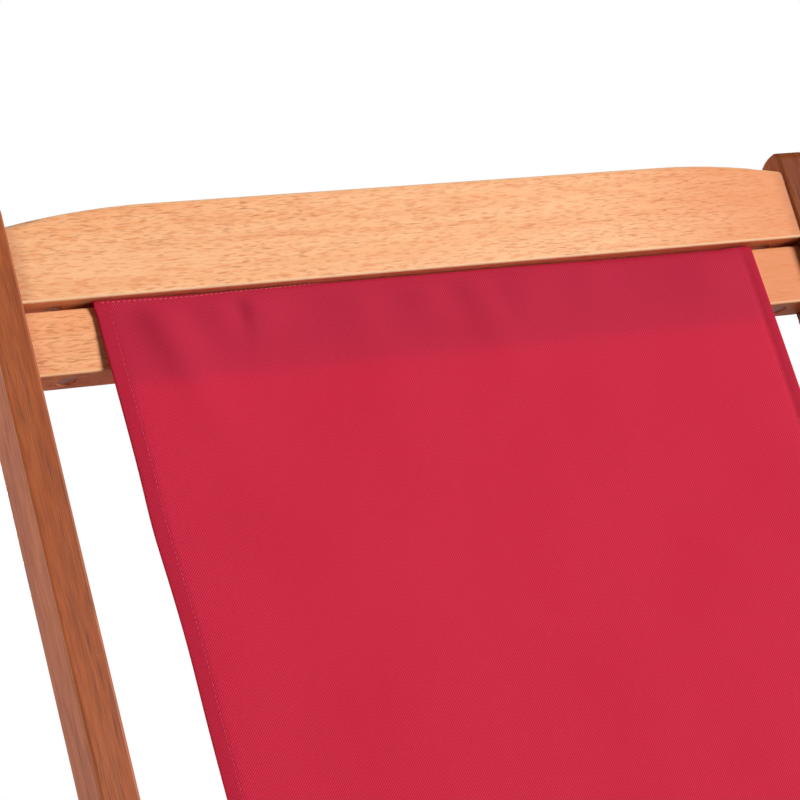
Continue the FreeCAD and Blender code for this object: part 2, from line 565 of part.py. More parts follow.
def build_back_frame():
    """Outermost frame: stiles, head rail, sling rail, foot rail, head rod and their fasteners."""
    head_bolt = "head_edge + joint_height"
    head_out = "-half_depth + rail_deep / 2"
    low_base = "sling_rail_top - sling_rail_height"
    low_bolt = low_base + " + joint_height"
    low_out = "-half_depth + sling_rail_deep / 2"
    joints = {"head": (head_bolt, head_out), "sling": (low_bolt, low_out)}
    rear = "-half_depth - foot_rail_thick"
    screw_x = "(back_half + back_stile_thick / 2)"
    screw_places = [(word, side, row) for word, side in SIDES.items() for row in (-1, 1)]

    def screw_hole(name, side, row):
        return cylinder_out(name, "screw_radius + fit_play", rear + " - " + OVER,
                            "foot_rail_thick + screw_bite + fit_play + " + OVER, "%d * %s" % (side, screw_x),
                            "%d * screw_spread - foot_rail_place" % row)

    for word, side in SIDES.items():
        name = "back_stile_" + word
        blank = crowned_stile_body(name + "_blank")
        inset = "back_half" if side == RIGHT else "-back_face"
        bind(blank, Placement="placement(vector(%s; 0; 0); rotation(vector(1; 0; 0); 0))" % inset)
        tools = [through("%s_%s_pivot" % (name, pivot), side, "pivot_bolt_radius + fit_play",
                         "back_half", "back_stile_thick", along, "0")
                 for pivot, along in (("seat", "0"), ("prop", "prop_pivot_reach"))]
        for key, (along, out) in joints.items():
            tools += stile_joint_tools(name + "_" + key, side, "back_half", "back_stile_thick",
                                       along, out, "0")
        tools += [screw_hole("%s_screw_%d" % (name, row), side, row) for row in (-1, 1)]
        on_floor(name, drilled(name + "_drilled", blank, tools), BACK)

    nuts, holes = barrel_nuts_up("head_nut", "back_half", "head_edge", "joint_height", head_out)
    low_nuts, low_holes = barrel_nuts_up("sling_nut", "back_half", low_base, "joint_height", low_out)
    node("head_rail", drilled("head_rail_part", head_rail_body("head_rail_blank"),
                              holes + joint_tools("head_rail", "back_half", *joints["head"])), BACK)
    rail = rail_body("head_sling_rail_blank", low_base, "sling_rail_height", "sling_rail_deep", "back_half",
                     crisp=True)
    low_bores = joint_tools("head_sling_rail", "back_half", *joints["sling"])
    node("head_sling_rail", drilled("head_sling_rail_part", rail, low_holes + low_bores), BACK)
    node("head_barrel_nuts", group("head_barrel_nuts_set", nuts + low_nuts), BACK)
    bolts = []
    for key, (along, out) in joints.items():
        bolts += joint_bolts(key + "_bolt", "back_half", "back_stile_thick", along, out, "0")
    node("head_joint_bolts", group("head_joint_bolts_set", bolts), BACK)

    foot = doc.addObject("PartDesign::Body", "foot_rail_blank")
    slat = foot.newObject("PartDesign::AdditiveBox", "foot_rail_slat")
    bind(slat, Length="2 * back_face", Width="foot_rail_height", Height="foot_rail_thick",
         Placement="placement(vector(-back_face; -foot_rail_place - foot_rail_height / 2; %s);"
                   " rotation(vector(1; 0; 0); 0))" % rear)
    round_edges(foot, "foot_rail_arrises", slat, "rail_arris", runs_across)
    node("foot_rail", drilled("foot_rail_part", foot, [screw_hole("foot_rail_%s_%d" % (word, row), side, row)
                                                       for word, side, row in screw_places]), BACK)
    screws = []
    for word, side, row in screw_places:
        name = "foot_screw_%s_%d" % (word, row + 1)
        x, along = "%d * %s" % (side, screw_x), "%d * screw_spread - foot_rail_place" % row
        shank = cylinder_out(name + "_shank", "screw_radius", rear, "foot_rail_thick + screw_bite", x, along)
        head = cylinder_out(name + "_head", "screw_head_radius", rear, "screw_head_thick", x, along, turn=180)
        screws.append(fuse(name, [shank, head]))
    node("foot_rail_screws", group("foot_rail_screws_set", screws), BACK)
    node("head_rod", sling_rod("head_rod_part", "head_slot", "head_rod_overhang"), BACK)


def sling_rod(name, along, overhang):
    """Round rod in a sleeve of the sling, behind its slot."""
    half = "(sling_width / 2 + %s)" % overhang
    rod = cylinder_across(name + "_round", RIGHT, "rod_radius", "-" + half, "2 * " + half,
                          along, "-rod_depth")
    return group(name, [rod])


def on_floor(name, part, frame):
    """Sets a stile in its frame and takes off the flat that it stands on."""
    bind(part, Placement=frame)
    where = ("placement(vector(-2 * back_face; -2 * head_reach; -stile_depth);"
             " rotation(vector(1; 0; 0); 0))")
    floor = primitive("Box", name + "_floor", where, Length="4 * back_face", Width="4 * head_reach",
                      Height="stile_depth")
    standing = cut(name + "_standing", part, floor)
    standing.Label = name
    nodes.append(standing)


def build_seat_frame():
    """Innermost frame: notched stiles, knee rails, rear stretcher, knee rod and their fasteners."""
    joints = {"knee": ("-(knee_front - knee_rail_width / 2)", "-half_depth + knee_joint_height"),
              "knee_sling": ("-(knee_sling_edge - sling_rail_height / 2)", "-half_depth + knee_joint_height"),
              "stretcher": ("stretcher_place", "-stretcher_drop")}
    for word, side in SIDES.items():
        name = "seat_stile_" + word
        blank = stile_body(name + "_blank", "knee_reach", "rear_reach", "stile_depth", "seat_stile_thick")
        notched(blank, name)
        inset = "seat_half" if side == RIGHT else "-seat_face"
        bind(blank, Placement="placement(vector(%s; 0; 0); rotation(vector(1; 0; 0); 0))" % inset)
        tools = [through(name + "_seat_pivot", side, "pivot_bolt_radius + fit_play", "seat_half",
                         "seat_stile_thick", "0", "0")]
        for key, (along, out) in joints.items():
            tools += stile_joint_tools(name + "_" + key, side, "seat_half", "seat_stile_thick", along, out,
                                       "joint_head_thick")
        on_floor(name, drilled(name + "_drilled", blank, tools), SEAT)

    rails = {"knee": ("knee_rail", "-knee_front", "knee_rail_width", "rail_deep"),
             "knee_sling": ("knee_sling_rail", "-knee_sling_edge", "sling_rail_height", "sling_rail_deep")}
    nuts, bolts = [], []
    for key, (name, low, wide, deep) in rails.items():
        along, out = joints[key]
        rail_nuts, holes = barrel_nuts_out(key + "_nut", "seat_half", along, "-half_depth",
                                           "knee_joint_height")
        rail = rail_body(name + "_blank", low, wide, deep, "seat_half")
        node(name, drilled(name + "_part", rail, holes + joint_tools(name, "seat_half", along, out)), SEAT)
        nuts += rail_nuts
        bolts += joint_bolts(key + "_bolt", "seat_half", "seat_stile_thick", along, out, "joint_head_thick")
    node("knee_barrel_nuts", group("knee_barrel_nuts_set", nuts), SEAT)
    node("knee_joint_bolts", group("knee_joint_bolts_set", bolts), SEAT)

    along, out = joints["stretcher"]
    base = "(-stretcher_drop - stretcher_thick / 2)"
    stretcher = doc.addObject("PartDesign::Body", "rear_stretcher_blank")
    slat = stretcher.newObject("PartDesign::AdditiveBox", "rear_stretcher_slat")
    bind(slat, Length="2 * seat_half", Width="stretcher_width", Height="stretcher_thick",
         Placement="placement(vector(-seat_half; stretcher_place - stretcher_width / 2; %s);"
                   " rotation(vector(1; 0; 0); 0))" % base)
    round_edges(stretcher, "rear_stretcher_arrises", slat, "rail_arris", runs_across)
    nuts, holes = barrel_nuts_out("stretcher_nut", "seat_half", along, base, "stretcher_thick / 2")
    node("rear_stretcher", drilled("rear_stretcher_part", stretcher,
                                   holes + joint_tools("rear_stretcher", "seat_half", along, out)), SEAT)
    node("stretcher_barrel_nuts", group("stretcher_barrel_nuts_set", nuts), SEAT)
    bolts = joint_bolts("stretcher_bolt", "seat_half", "seat_stile_thick", along, out, "joint_head_thick")
    node("stretcher_bolts", group("stretcher_bolts_set", bolts), SEAT)
    node("knee_rod", sling_rod("knee_rod_part", "-knee_slot", "knee_rod_overhang"), SEAT)


def build_prop_frame():
    """Middle frame: two stiles hung on the back, and the round bar that rests in the notches."""
    recess = "prop_head_thick + pivot_play"
    pin_length = "prop_depth - 2 * pin_inset"
    pin_x = "(prop_inner + prop_stile_thick / 2)"
    pins, pin_holes = [], []
    for word, side in SIDES.items():
        name = "prop_stile_" + word
        x = "%d * %s" % (side, pin_x)
        start = "-prop_depth / 2"
        pins.append(cylinder_out("bar_pin_" + word, "pin_radius", start + " + pin_inset", pin_length,
                                 x, "prop_length"))
        pin_holes.append(cylinder_out("bar_pin_hole_" + word, "pin_radius + fit_play", start + " - " + OVER,
                                      "prop_depth + 2 * " + OVER, x, "prop_length"))
        blank = stile_body(name + "_blank", None, "prop_length", "prop_depth", "prop_stile_thick")
        inset = "prop_inner" if side == RIGHT else "-prop_face"
        bind(blank, Placement="placement(vector(%s; 0; 0); rotation(vector(1; 0; 0); 0))" % inset)
        tools = [through(name + "_pivot", side, "pivot_bolt_radius + fit_play", "prop_inner",
                         "prop_stile_thick", "0", "0"),
                 cylinder_across(name + "_recess", side, "prop_head_radius + pivot_play",
                                 "prop_inner - " + OVER, recess + " + " + OVER, "0", "0"),
                 through(name + "_bar_hole", side, "bar_radius + fit_play", "prop_inner", "prop_stile_thick",
                         "prop_length", "0"),
                 pin_holes[-1]]
        node(name, drilled(name + "_part", blank, tools), PROP)
    bar = cylinder_across("prop_bar_blank", RIGHT, "bar_radius", "-prop_face", "2 * prop_face",
                          "prop_length", "0")
    node("prop_bar", drilled("prop_bar_part", bar, pin_holes), PROP)
    node("prop_bar_pins", group("prop_bar_pins_set", pins), PROP)


def washer(name, side, start, thick, along):
    """Flat ring on a pivot bolt."""
    ring = cylinder_across(name + "_ring", side, "washer_radius", start, thick, along, "0")
    hole = through(name + "_hole", side, "pivot_bolt_radius + fit_play", start, thick, along, "0")
    return cut(name, ring, hole)


def cap_nut(name, side, start, along, shank):
    """Hexagon nut with a domed cap, hollow over the end of its bolt; it points outwards along X."""
    flats = hexagon_across(name + "_flats", side, "cap_nut_radius", start, "cap_nut_height", along, "0")
    dome = primitive("Sphere", name + "_dome", across(side, start + " + cap_nut_height", along, "0"),
                     Radius="cap_dome_radius")
    hole = cylinder_across(name + "_thread", side, "pivot_bolt_radius + fit_play", "%s - %s" % (start, OVER),
                           "%s + %s" % (shank, OVER), along, "0")
    return cut(name, fuse(name + "_blank", [flats, dome]), hole)


def build_pivots():
    """Bolts, washers, spacers and cap nuts of both pivots, all held by the back frame."""
    sets = {"%s_pivot_%s" % (pivot, kind): [] for pivot in ("seat", "prop")
            for kind in ("bolts", "washers", "spacers", "nuts")}
    inner_end = "(seat_half - pivot_play - washer_thick - cap_nut_height)"
    for word, side in SIDES.items():
        name = "seat_pivot_" + word
        shank = cylinder_across(name + "_shank", side, "pivot_bolt_radius", inner_end,
                                "back_face + washer_thick - " + inner_end, "0", "0")
        head = cylinder_across(name + "_head", side, "pivot_head_radius", "back_face + washer_thick",
                               "pivot_head_thick", "0", "0")
        socket = hexagon_across(name + "_socket", side, "joint_socket_radius",
                                "back_face + washer_thick + pivot_head_thick - pivot_socket_depth",
                                "pivot_socket_depth + " + OVER, "0", "0")
        sets["seat_pivot_bolts"].append(cut(name + "_bolt", fuse(name + "_blank", [shank, head]), socket))
        sets["seat_pivot_washers"] += [
            washer(name + "_outer_washer", side, "back_face", "washer_thick", "0"),
            washer(name + "_inner_washer", side, "seat_half - pivot_play - washer_thick", "washer_thick",
                   "0")]
        ring = cylinder_across(name + "_ring", side, "spacer_radius", "seat_face + pivot_play",
                               "back_half - seat_face - pivot_play", "0", "0")
        hole = through(name + "_bore", side, "pivot_bolt_radius + fit_play", "seat_face",
                       "back_half - seat_face", "0", "0")
        sets["seat_pivot_spacers"].append(cut(name + "_spacer", ring, hole))
        nut = cap_nut(name + "_nut", -side, "-(seat_half - pivot_play - washer_thick)", "0", "cap_nut_height")
        sets["seat_pivot_nuts"].append(nut)

        name = "prop_pivot_" + word
        shank = cylinder_across(name + "_shank", side, "pivot_bolt_radius", "prop_inner",
                                "back_face + washer_thick + cap_nut_height - prop_inner",
                                "prop_pivot_reach", "0")
        head = cylinder_across(name + "_head", side, "prop_head_radius", "prop_inner", "prop_head_thick",
                               "prop_pivot_reach", "0")
        socket = hexagon_across(name + "_socket", side, "joint_socket_radius", "prop_inner - " + OVER,
                                "prop_socket_depth + " + OVER, "prop_pivot_reach", "0")
        sets["prop_pivot_bolts"].append(cut(name + "_bolt", fuse(name + "_blank", [shank, head]), socket))
        sets["prop_pivot_washers"].append(washer(name + "_washer", side, "back_face", "washer_thick",
                                                 "prop_pivot_reach"))
        sets["prop_pivot_spacers"].append(washer(name + "_spacer", side, "prop_face + pivot_play",
                                                 "layer_gap - pivot_play", "prop_pivot_reach"))
        sets["prop_pivot_nuts"].append(cap_nut(name + "_nut", side, "back_face + washer_thick",
                                               "prop_pivot_reach", "cap_nut_height"))
    for label, parts in sets.items():
        node(label, group(label + "_set", parts), BACK)


def build_sling():
    """The cloth, as one solid."""
    cloth = doc.addObject("Part::Feature", "sling_cloth")
    cloth.Shape = sling_shape()
    cloth.Label = "sling"
    nodes.append(cloth)


def check_and_write():
    """Stops on any failed object or bad shape, then writes one STEP file a sub-part."""
    doc.recompute()
    failed = [o.Label for o in doc.Objects if "Invalid" in o.State or "Error" in o.State]
    bad = [n.Label for n in nodes if n.Shape.isNull() or not n.Shape.isValid() or not n.Shape.Solids]
    if failed or bad:
        raise RuntimeError("failed objects %s, bad shapes %s" % (failed, bad))
    os.makedirs("parts", exist_ok=True)
    for part in nodes:
        part.Shape.exportStep("parts/%s.step" % part.Label)
        print("%-24s %2d solids %12.1f mm3" % (part.Label, len(part.Shape.Solids), part.Shape.Volume))


build_back_frame()
build_seat_frame()
build_prop_frame()
build_pivots()
build_sling()
check_and_write()
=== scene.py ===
"""Folding deck chair: oiled wooden frames, a crimson twill sling, zinc fittings, floor, light and camera.

Lengths are in metres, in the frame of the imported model: +Z up, the sitter faces -Y.
"""

import logging
import math
from dataclasses import dataclass, field, replace
from enum import Enum
from typing import Any, Sequence, Union

import bpy
import numpy as np
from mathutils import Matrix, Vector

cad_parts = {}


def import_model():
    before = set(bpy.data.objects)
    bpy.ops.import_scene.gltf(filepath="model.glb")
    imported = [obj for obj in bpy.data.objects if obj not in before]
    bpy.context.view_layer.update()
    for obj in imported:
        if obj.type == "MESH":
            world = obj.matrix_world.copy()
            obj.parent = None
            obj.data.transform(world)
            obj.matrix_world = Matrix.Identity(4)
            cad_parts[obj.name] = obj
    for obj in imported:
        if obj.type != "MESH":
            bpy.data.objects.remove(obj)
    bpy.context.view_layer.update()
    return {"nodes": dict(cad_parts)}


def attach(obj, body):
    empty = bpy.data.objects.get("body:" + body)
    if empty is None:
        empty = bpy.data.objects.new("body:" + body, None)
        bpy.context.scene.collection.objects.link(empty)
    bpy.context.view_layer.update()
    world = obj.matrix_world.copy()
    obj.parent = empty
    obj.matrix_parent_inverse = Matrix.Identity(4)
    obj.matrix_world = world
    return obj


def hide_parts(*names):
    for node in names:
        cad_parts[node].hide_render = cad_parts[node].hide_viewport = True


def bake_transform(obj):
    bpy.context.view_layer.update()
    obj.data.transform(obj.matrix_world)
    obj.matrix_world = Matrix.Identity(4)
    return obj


LOG = logging.getLogger("deck_chair")
MM = 0.001
WHITE = (1.0, 1.0, 1.0)
Colour = Place = tuple[float, float, float]
Span = tuple[float, float]
Links = dict[str | int, Any]
Array = np.ndarray
Lines = list[tuple[Array, Array]]
Material = bpy.types.Material
Piece = bpy.types.Object


def paint(red: int, green: int, blue: int) -> Colour:
    """Turns a screen's levels from 0 to 255 into the linear colour of a shader."""
    levels = [value / 255 for value in (red, green, blue)]
    return tuple(v / 12.92 if v <= 0.04045 else ((v + 0.055) / 1.055) ** 2.4 for v in levels)


class Body(Enum):
    """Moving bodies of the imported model."""

    BACK = "back_frame"
    SEAT = "seat_frame"
    PROP = "prop_frame"


class Grain(Enum):
    """Way in which the fibres of a wooden piece run: its body, and whether they cross the chair."""

    ACROSS_BACK = (Body.BACK, True)
    ACROSS_SEAT = (Body.SEAT, True)
    ACROSS_PROP = (Body.PROP, True)
    ALONG_BACK = (Body.BACK, False)
    ALONG_SEAT = (Body.SEAT, False)
    ALONG_PROP = (Body.PROP, False)

    @property
    def body(self) -> Body:
        """Body of the piece."""
        return self.value[0]

    @property
    def across(self) -> bool:
        """Whether the fibres cross the chair."""
        return self.value[1]


class Slot(Enum):
    """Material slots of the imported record."""

    RAIL_WOOD = "rail_wood"
    STILE_WOOD = "stile_wood"
    SLING_CLOTH = "sling_cloth"
    ZINC_STEEL = "zinc_steel"
    NUT_STEEL = "nut_steel"


class Wire:
    """Output of a shader node; sums and products of wires add Math nodes."""

    def __init__(self, shader: "Shader", socket: bpy.types.NodeSocket) -> None:
        """Keeps the socket and the tree that it belongs to."""
        self.shader = shader
        self.socket = socket

    def math(self, operation: str, *values: "Value") -> "Wire":
        """Result of a Math node, from wires or numbers for its sockets."""
        return self.shader.wire("ShaderNodeMath", {"operation": operation}, dict(enumerate(values)))

    def __add__(self, other: "Value") -> "Wire":
        """Sum of two values."""
        return self.math("ADD", self, other)

    __radd__ = __add__

    def __sub__(self, other: "Value") -> "Wire":
        """Difference of two values."""
        return self.math("SUBTRACT", self, other)

    def __rsub__(self, other: "Value") -> "Wire":
        """Difference of a number and this value."""
        return self.math("SUBTRACT", other, self)

    def __mul__(self, other: "Value") -> "Wire":
        """Product of two values."""
        return self.math("MULTIPLY", self, other)

    __rmul__ = __mul__

    def sine(self) -> "Wire":
        """Sine of the value, in radians."""
        return self.math("SINE", self)

    def size(self) -> "Wire":
        """The value without its sign."""
        return self.math("ABSOLUTE", self)

    def most(self, other: "Value") -> "Wire":
        """The larger of two values."""
        return self.math("MAXIMUM", self, other)

    def step(self, low: float, high: float) -> "Wire":
        """Smooth step of the value, from 0 at the low level to 1 at the high one."""
        links = {"Value": self, "From Min": low, "From Max": high}
        return self.shader.wire("ShaderNodeMapRange", {"interpolation_type": "SMOOTHSTEP"}, links)


Value = Union[Wire, float]


@dataclass(frozen=True)
class Layer:
    """One layer of noise in a finish, with the two levels that step it into a mask."""

    waves: Place
    detail: float = 2.0
    rough: float = 0.5
    warp: float = 0.0
    low: float = 0.0
    high: float = 1.0


class Shader:
    """Node tree of one material or of the world."""

    COLOUR_A, COLOUR_B, COLOUR_RESULT = 6, 7, 2

    def __init__(self, tree: bpy.types.NodeTree) -> None:
        """Starts from an empty tree."""
        self.tree = tree
        tree.nodes.clear()

    def node(self, kind: str, settings: dict[str, Any] | None = None,
             links: Links | None = None) -> bpy.types.Node:
        """Adds a node of any kind.

        Args:
            kind: Blender's type of the node.
            settings: its own properties, set before its sockets.
            links: wires or values of its input sockets, by name or number.

        Returns:
            The node.
        """
        made = self.tree.nodes.new(kind)
        for name, value in (settings or {}).items():
            setattr(made, name, value)
        for key, value in (links or {}).items():
            socket = made.inputs[key]
            if isinstance(value, Wire):
                self.tree.links.new(value.socket, socket)
            elif isinstance(value, tuple) and len(value) == 3 and socket.type == "RGBA":
                socket.default_value = (*value, 1.0)
            else:
                socket.default_value = value
        return made

    def wire(self, kind: str, settings: dict[str, Any] | None = None,
             links: Links | None = None, output: str | int = 0) -> Wire:
        """Adds a node and gives one of its outputs as a wire."""
        return Wire(self, self.node(kind, settings, links).outputs[output])

    def mix(self, share: Value, first: Any, second: Any) -> Wire:
        """Mixes two colours.

        Args:
            share: how much of the second colour shows.
            first: colour or wire at share 0.
            second: colour or wire at share 1.

        Returns:
            The mixed colour.
        """
        settings = {"data_type": "RGBA", "clamp_factor": True}
        links = {0: share, self.COLOUR_A: first, self.COLOUR_B: second}
        return self.wire("ShaderNodeMix", settings, links, self.COLOUR_RESULT)

    def noise(self, place: Wire, layer: Layer) -> Wire:
        """Noise of one layer.

        Args:
            place: coordinates in metres.
            layer: its waves a metre along each axis, and its finer parts.

        Returns:
            A value around 0.5.
        """
        stretched = self.wire("ShaderNodeVectorMath", {"operation": "MULTIPLY"}, {0: place, 1: layer.waves})
        links = {"Vector": stretched, "Scale": 1.0, "Detail": layer.detail, "Roughness": layer.rough,
                 "Distortion": layer.warp}
        return self.wire("ShaderNodeTexNoise", {}, links, "Fac")

    def mask(self, place: Wire, layer: Layer) -> Wire:
        """Noise of one layer, stepped from 0 to 1."""
        return self.noise(place, layer).step(layer.low, layer.high)

    def bump(self, height: Wire, depth: float, strength: float) -> Wire:
        """Normal of a relief whose height runs from 0 to 1 over a depth in metres."""
        links = {"Height": height, "Distance": depth, "Strength": strength}
        return self.wire("ShaderNodeBump", {}, links)

    def surface(self, links: Links) -> None:
        """Ends the tree in a Principled shader with these values and wires."""
        self.end(self.wire("ShaderNodeBsdfPrincipled", {}, links))

    def end(self, shown: Wire, kind: str = "ShaderNodeOutputMaterial") -> None:
        """Ends the tree in an output node that shows a shader."""
        self.node(kind, {}, {"Surface": shown})


def new_material(name: str) -> tuple[Material, Shader]:
    """Makes a material with an empty node tree.

    Args:
        name: the material's name.

    Returns:
        The material and its tree.
    """
    material = bpy.data.materials.new(name)
    material.use_nodes = True
    return material, Shader(material.node_tree)


def put(name: str, data: Any) -> Piece:
    """Adds an object to the scene.

    Args:
        name: its name.
        data: its mesh, light or camera.

    Returns:
        The object.
    """
    made = bpy.data.objects.new(name, data)
    bpy.context.scene.collection.objects.link(made)
    return made


@dataclass(frozen=True)
class ChairFrames:
    """Pivot and slopes of the three frames at rest, as seen from the side."""

    pivot: Span = (-0.178927, 0.271650)
    back_lean: float = math.radians(59.0)
    seat_slope: float = math.radians(22.0153)
    prop_slope: float = math.radians(42.0333)

    def turn(self, body: Body) -> float:
        """Turn about X, in radians, that lays a frame's own axes along those of the row."""
        return {Body.BACK: -self.back_lean, Body.SEAT: self.seat_slope, Body.PROP: self.prop_slope}[body]

    def on_back(self, along: Array, out: Array) -> Array:
        """Y and Z of points of the back frame, from the pivot up the stiles and out of its face."""
        cos, sin = math.cos(self.back_lean), math.sin(self.back_lean)
        return np.column_stack([self.pivot[0] + along * cos - out * sin, self.pivot[1] + along * sin + out * cos])

    def on_seat(self, along: Array, out: Array) -> Array:
        """Y and Z of points of the seat frame, from the pivot towards the knee and out of its face."""
        cos, sin = math.cos(self.seat_slope), math.sin(self.seat_slope)
        return np.column_stack([self.pivot[0] - along * cos + out * sin, self.pivot[1] + along * sin + out * cos])


FRAMES = ChairFrames()


@dataclass(frozen=True)
class WoodFinish:
    """Oiled hardwood with fine open pores."""

    name: str
    pale: Colour
    warm: Colour
    dark: Colour
    pore: Colour
    # Pale colour of worn edges, also used for painted highlights on the edges.
    wear_and_highlight: Colour
    pore_share: float = 0.38
    dash_share: float = 0.50
    streak_share: float = 0.25
    mottle_part: float = 0.6
    edge_wear_and_highlight_share: float = 0.35
    # Pale wear along all long edges, partly a painted highlight.
    edge_turn: Span = (0.12, 0.50)
    # Painted highlight along a rail's lower front edge.
    lower_edge_highlight_share: float = 0.55
    lower_edge_highlight_turn: Span = (0.05, 0.30)
    end_share: float = 0.55
    end_span: Span = (0.100, 0.262)
    # Painted shade at the rail ends where they meet the stiles.
    joint_shade_share: float = 0.35
    joint_shade_span: Span = (0.254, 0.266)
    roughness: float = 0.52
    fibre_roughness: float = 0.16
    pore_roughness: float = 0.15
    gloss: float = 0.28
    relief: float = 0.25 * MM
    relief_strength: float = 0.35
    fibre_relief: float = 0.35
    bands: Layer = Layer((2.4, 46.0, 46.0), 3.0, 0.55, 0.6, 0.30, 0.72)
    ribbon: Layer = Layer((7.0, 160.0, 160.0), 2.0, 0.60, low=0.42, high=0.75)
    mottle: Layer = Layer((60.0, 190.0, 190.0), 2.0, 0.55, low=0.40, high=0.75)
    fibres: Layer = Layer((26.0, 420.0, 420.0), 2.0, 0.65, low=0.40, high=0.80)
    patches: Layer = Layer((14.0, 60.0, 60.0), 1.0, low=0.25, high=0.65)
    dashes: Layer = Layer((140.0, 850.0, 850.0), 1.0, low=0.50, high=0.66)
    specks: Layer = Layer((140.0, 1050.0, 1050.0), 0.0, low=0.60, high=0.72)

    def turned(self, shader: Shader, grain: Grain, given: str, kind: str) -> list[Wire]:
        """Turns coordinates to the axes of the piece's own frame.

        Args:
            shader: tree to add the nodes to.
            grain: way of the fibres, which tells the frame.
            given: which coordinates, Object or Normal.
            kind: how they turn, POINT or NORMAL.

        Returns:
            The three coordinates: across, along and out of the frame.
        """
        place = shader.wire("ShaderNodeTexCoord", {}, {}, given)
        links = {"Vector": place, "Rotation": (FRAMES.turn(grain.body), 0.0, 0.0)}
        turned = shader.wire("ShaderNodeMapping", {"vector_type": kind}, links)
        parts = shader.node("ShaderNodeSeparateXYZ", {}, {0: turned})
        return [Wire(shader, output) for output in parts.outputs]

    def masks(self, shader: Shader, grain: Grain) -> tuple[Wire, ...]:
        """Masks of a piece's ends, from the place across the chair, and of its edges, from the way they face.

        Args:
            shader: tree to add the nodes to.
            grain: way of the fibres.

        Returns:
            Masks of a rail's warmer stretch towards the right stile, of the painted shade at its ends against both
            stiles, of all the long edges, pale with wear and partly a painted highlight, and of the painted highlight
            on a rail's lower front edge.
        """
        place = shader.wire("ShaderNodeTexCoord", {}, {}, "Object")
        across = shader.wire("ShaderNodeSeparateXYZ", {}, {0: place})
        x, y, z = self.turned(shader, grain, "Normal", "NORMAL")
        slant = y * z if grain.across else x * z
        # The ends' mask paints shade where the rails meet the stiles; the negative slant picks the lower front edge
        # for a painted highlight.
        return (across.step(*self.end_span), across.size().step(*self.joint_shade_span),
                slant.size().step(*self.edge_turn), (slant * -1.0).step(*self.lower_edge_highlight_turn))

    def material(self, grain: Grain) -> Material:
        """Builds the wood for one way of the fibres.

        Args:
            grain: way of the fibres.

        Returns:
            The material.
        """
        made, shader = new_material(f"{self.name}_{grain.name.lower()}")
        x, y, z = self.turned(shader, grain, "Object", "POINT")
        fibre_first = (x, y, z) if grain.across else (y, z, x)
        place = shader.wire("ShaderNodeCombineXYZ", {}, dict(enumerate(fibre_first)))
        fibres = shader.noise(place, self.fibres)
        pores = shader.mask(place, self.specks) * shader.mask(place, self.patches)
        warm_end, joint_shade, edges, lower_edge_highlight = self.masks(shader, grain)
        colour = shader.mix(shader.mask(place, self.bands), self.pale, self.warm)
        # Painted light among these mixes: shade at the rail ends against the stiles, pale edges that are worn and
        # partly a painted highlight, and a painted highlight on the lower front edge.
        for share, tint in ((shader.mask(place, self.ribbon) * self.streak_share, self.dark),
                            (shader.mask(place, self.mottle) * (self.mottle_part * self.streak_share), self.dark),
                            (fibres.step(self.fibres.low, self.fibres.high) * self.streak_share, self.dark),
                            (shader.mask(place, self.dashes) * self.dash_share, self.dark),
                            (pores * self.pore_share, self.pore), (warm_end * self.end_share, self.dark),
                            (joint_shade * self.joint_shade_share, self.pore), (edges * self.edge_wear_and_highlight_share, self.wear_and_highlight),
                            (lower_edge_highlight * self.lower_edge_highlight_share, self.wear_and_highlight)):
            colour = shader.mix(share, colour, tint)
        rough = self.roughness + (fibres - 0.5) * self.fibre_roughness + pores * self.pore_roughness
        height = fibres * self.fibre_relief + (1 - pores) * (1 - self.fibre_relief)
        shader.surface({"Base Color": colour, "Roughness": rough, "Specular IOR Level": self.gloss,
                        "Normal": shader.bump(height, self.relief, self.relief_strength)})
        return made


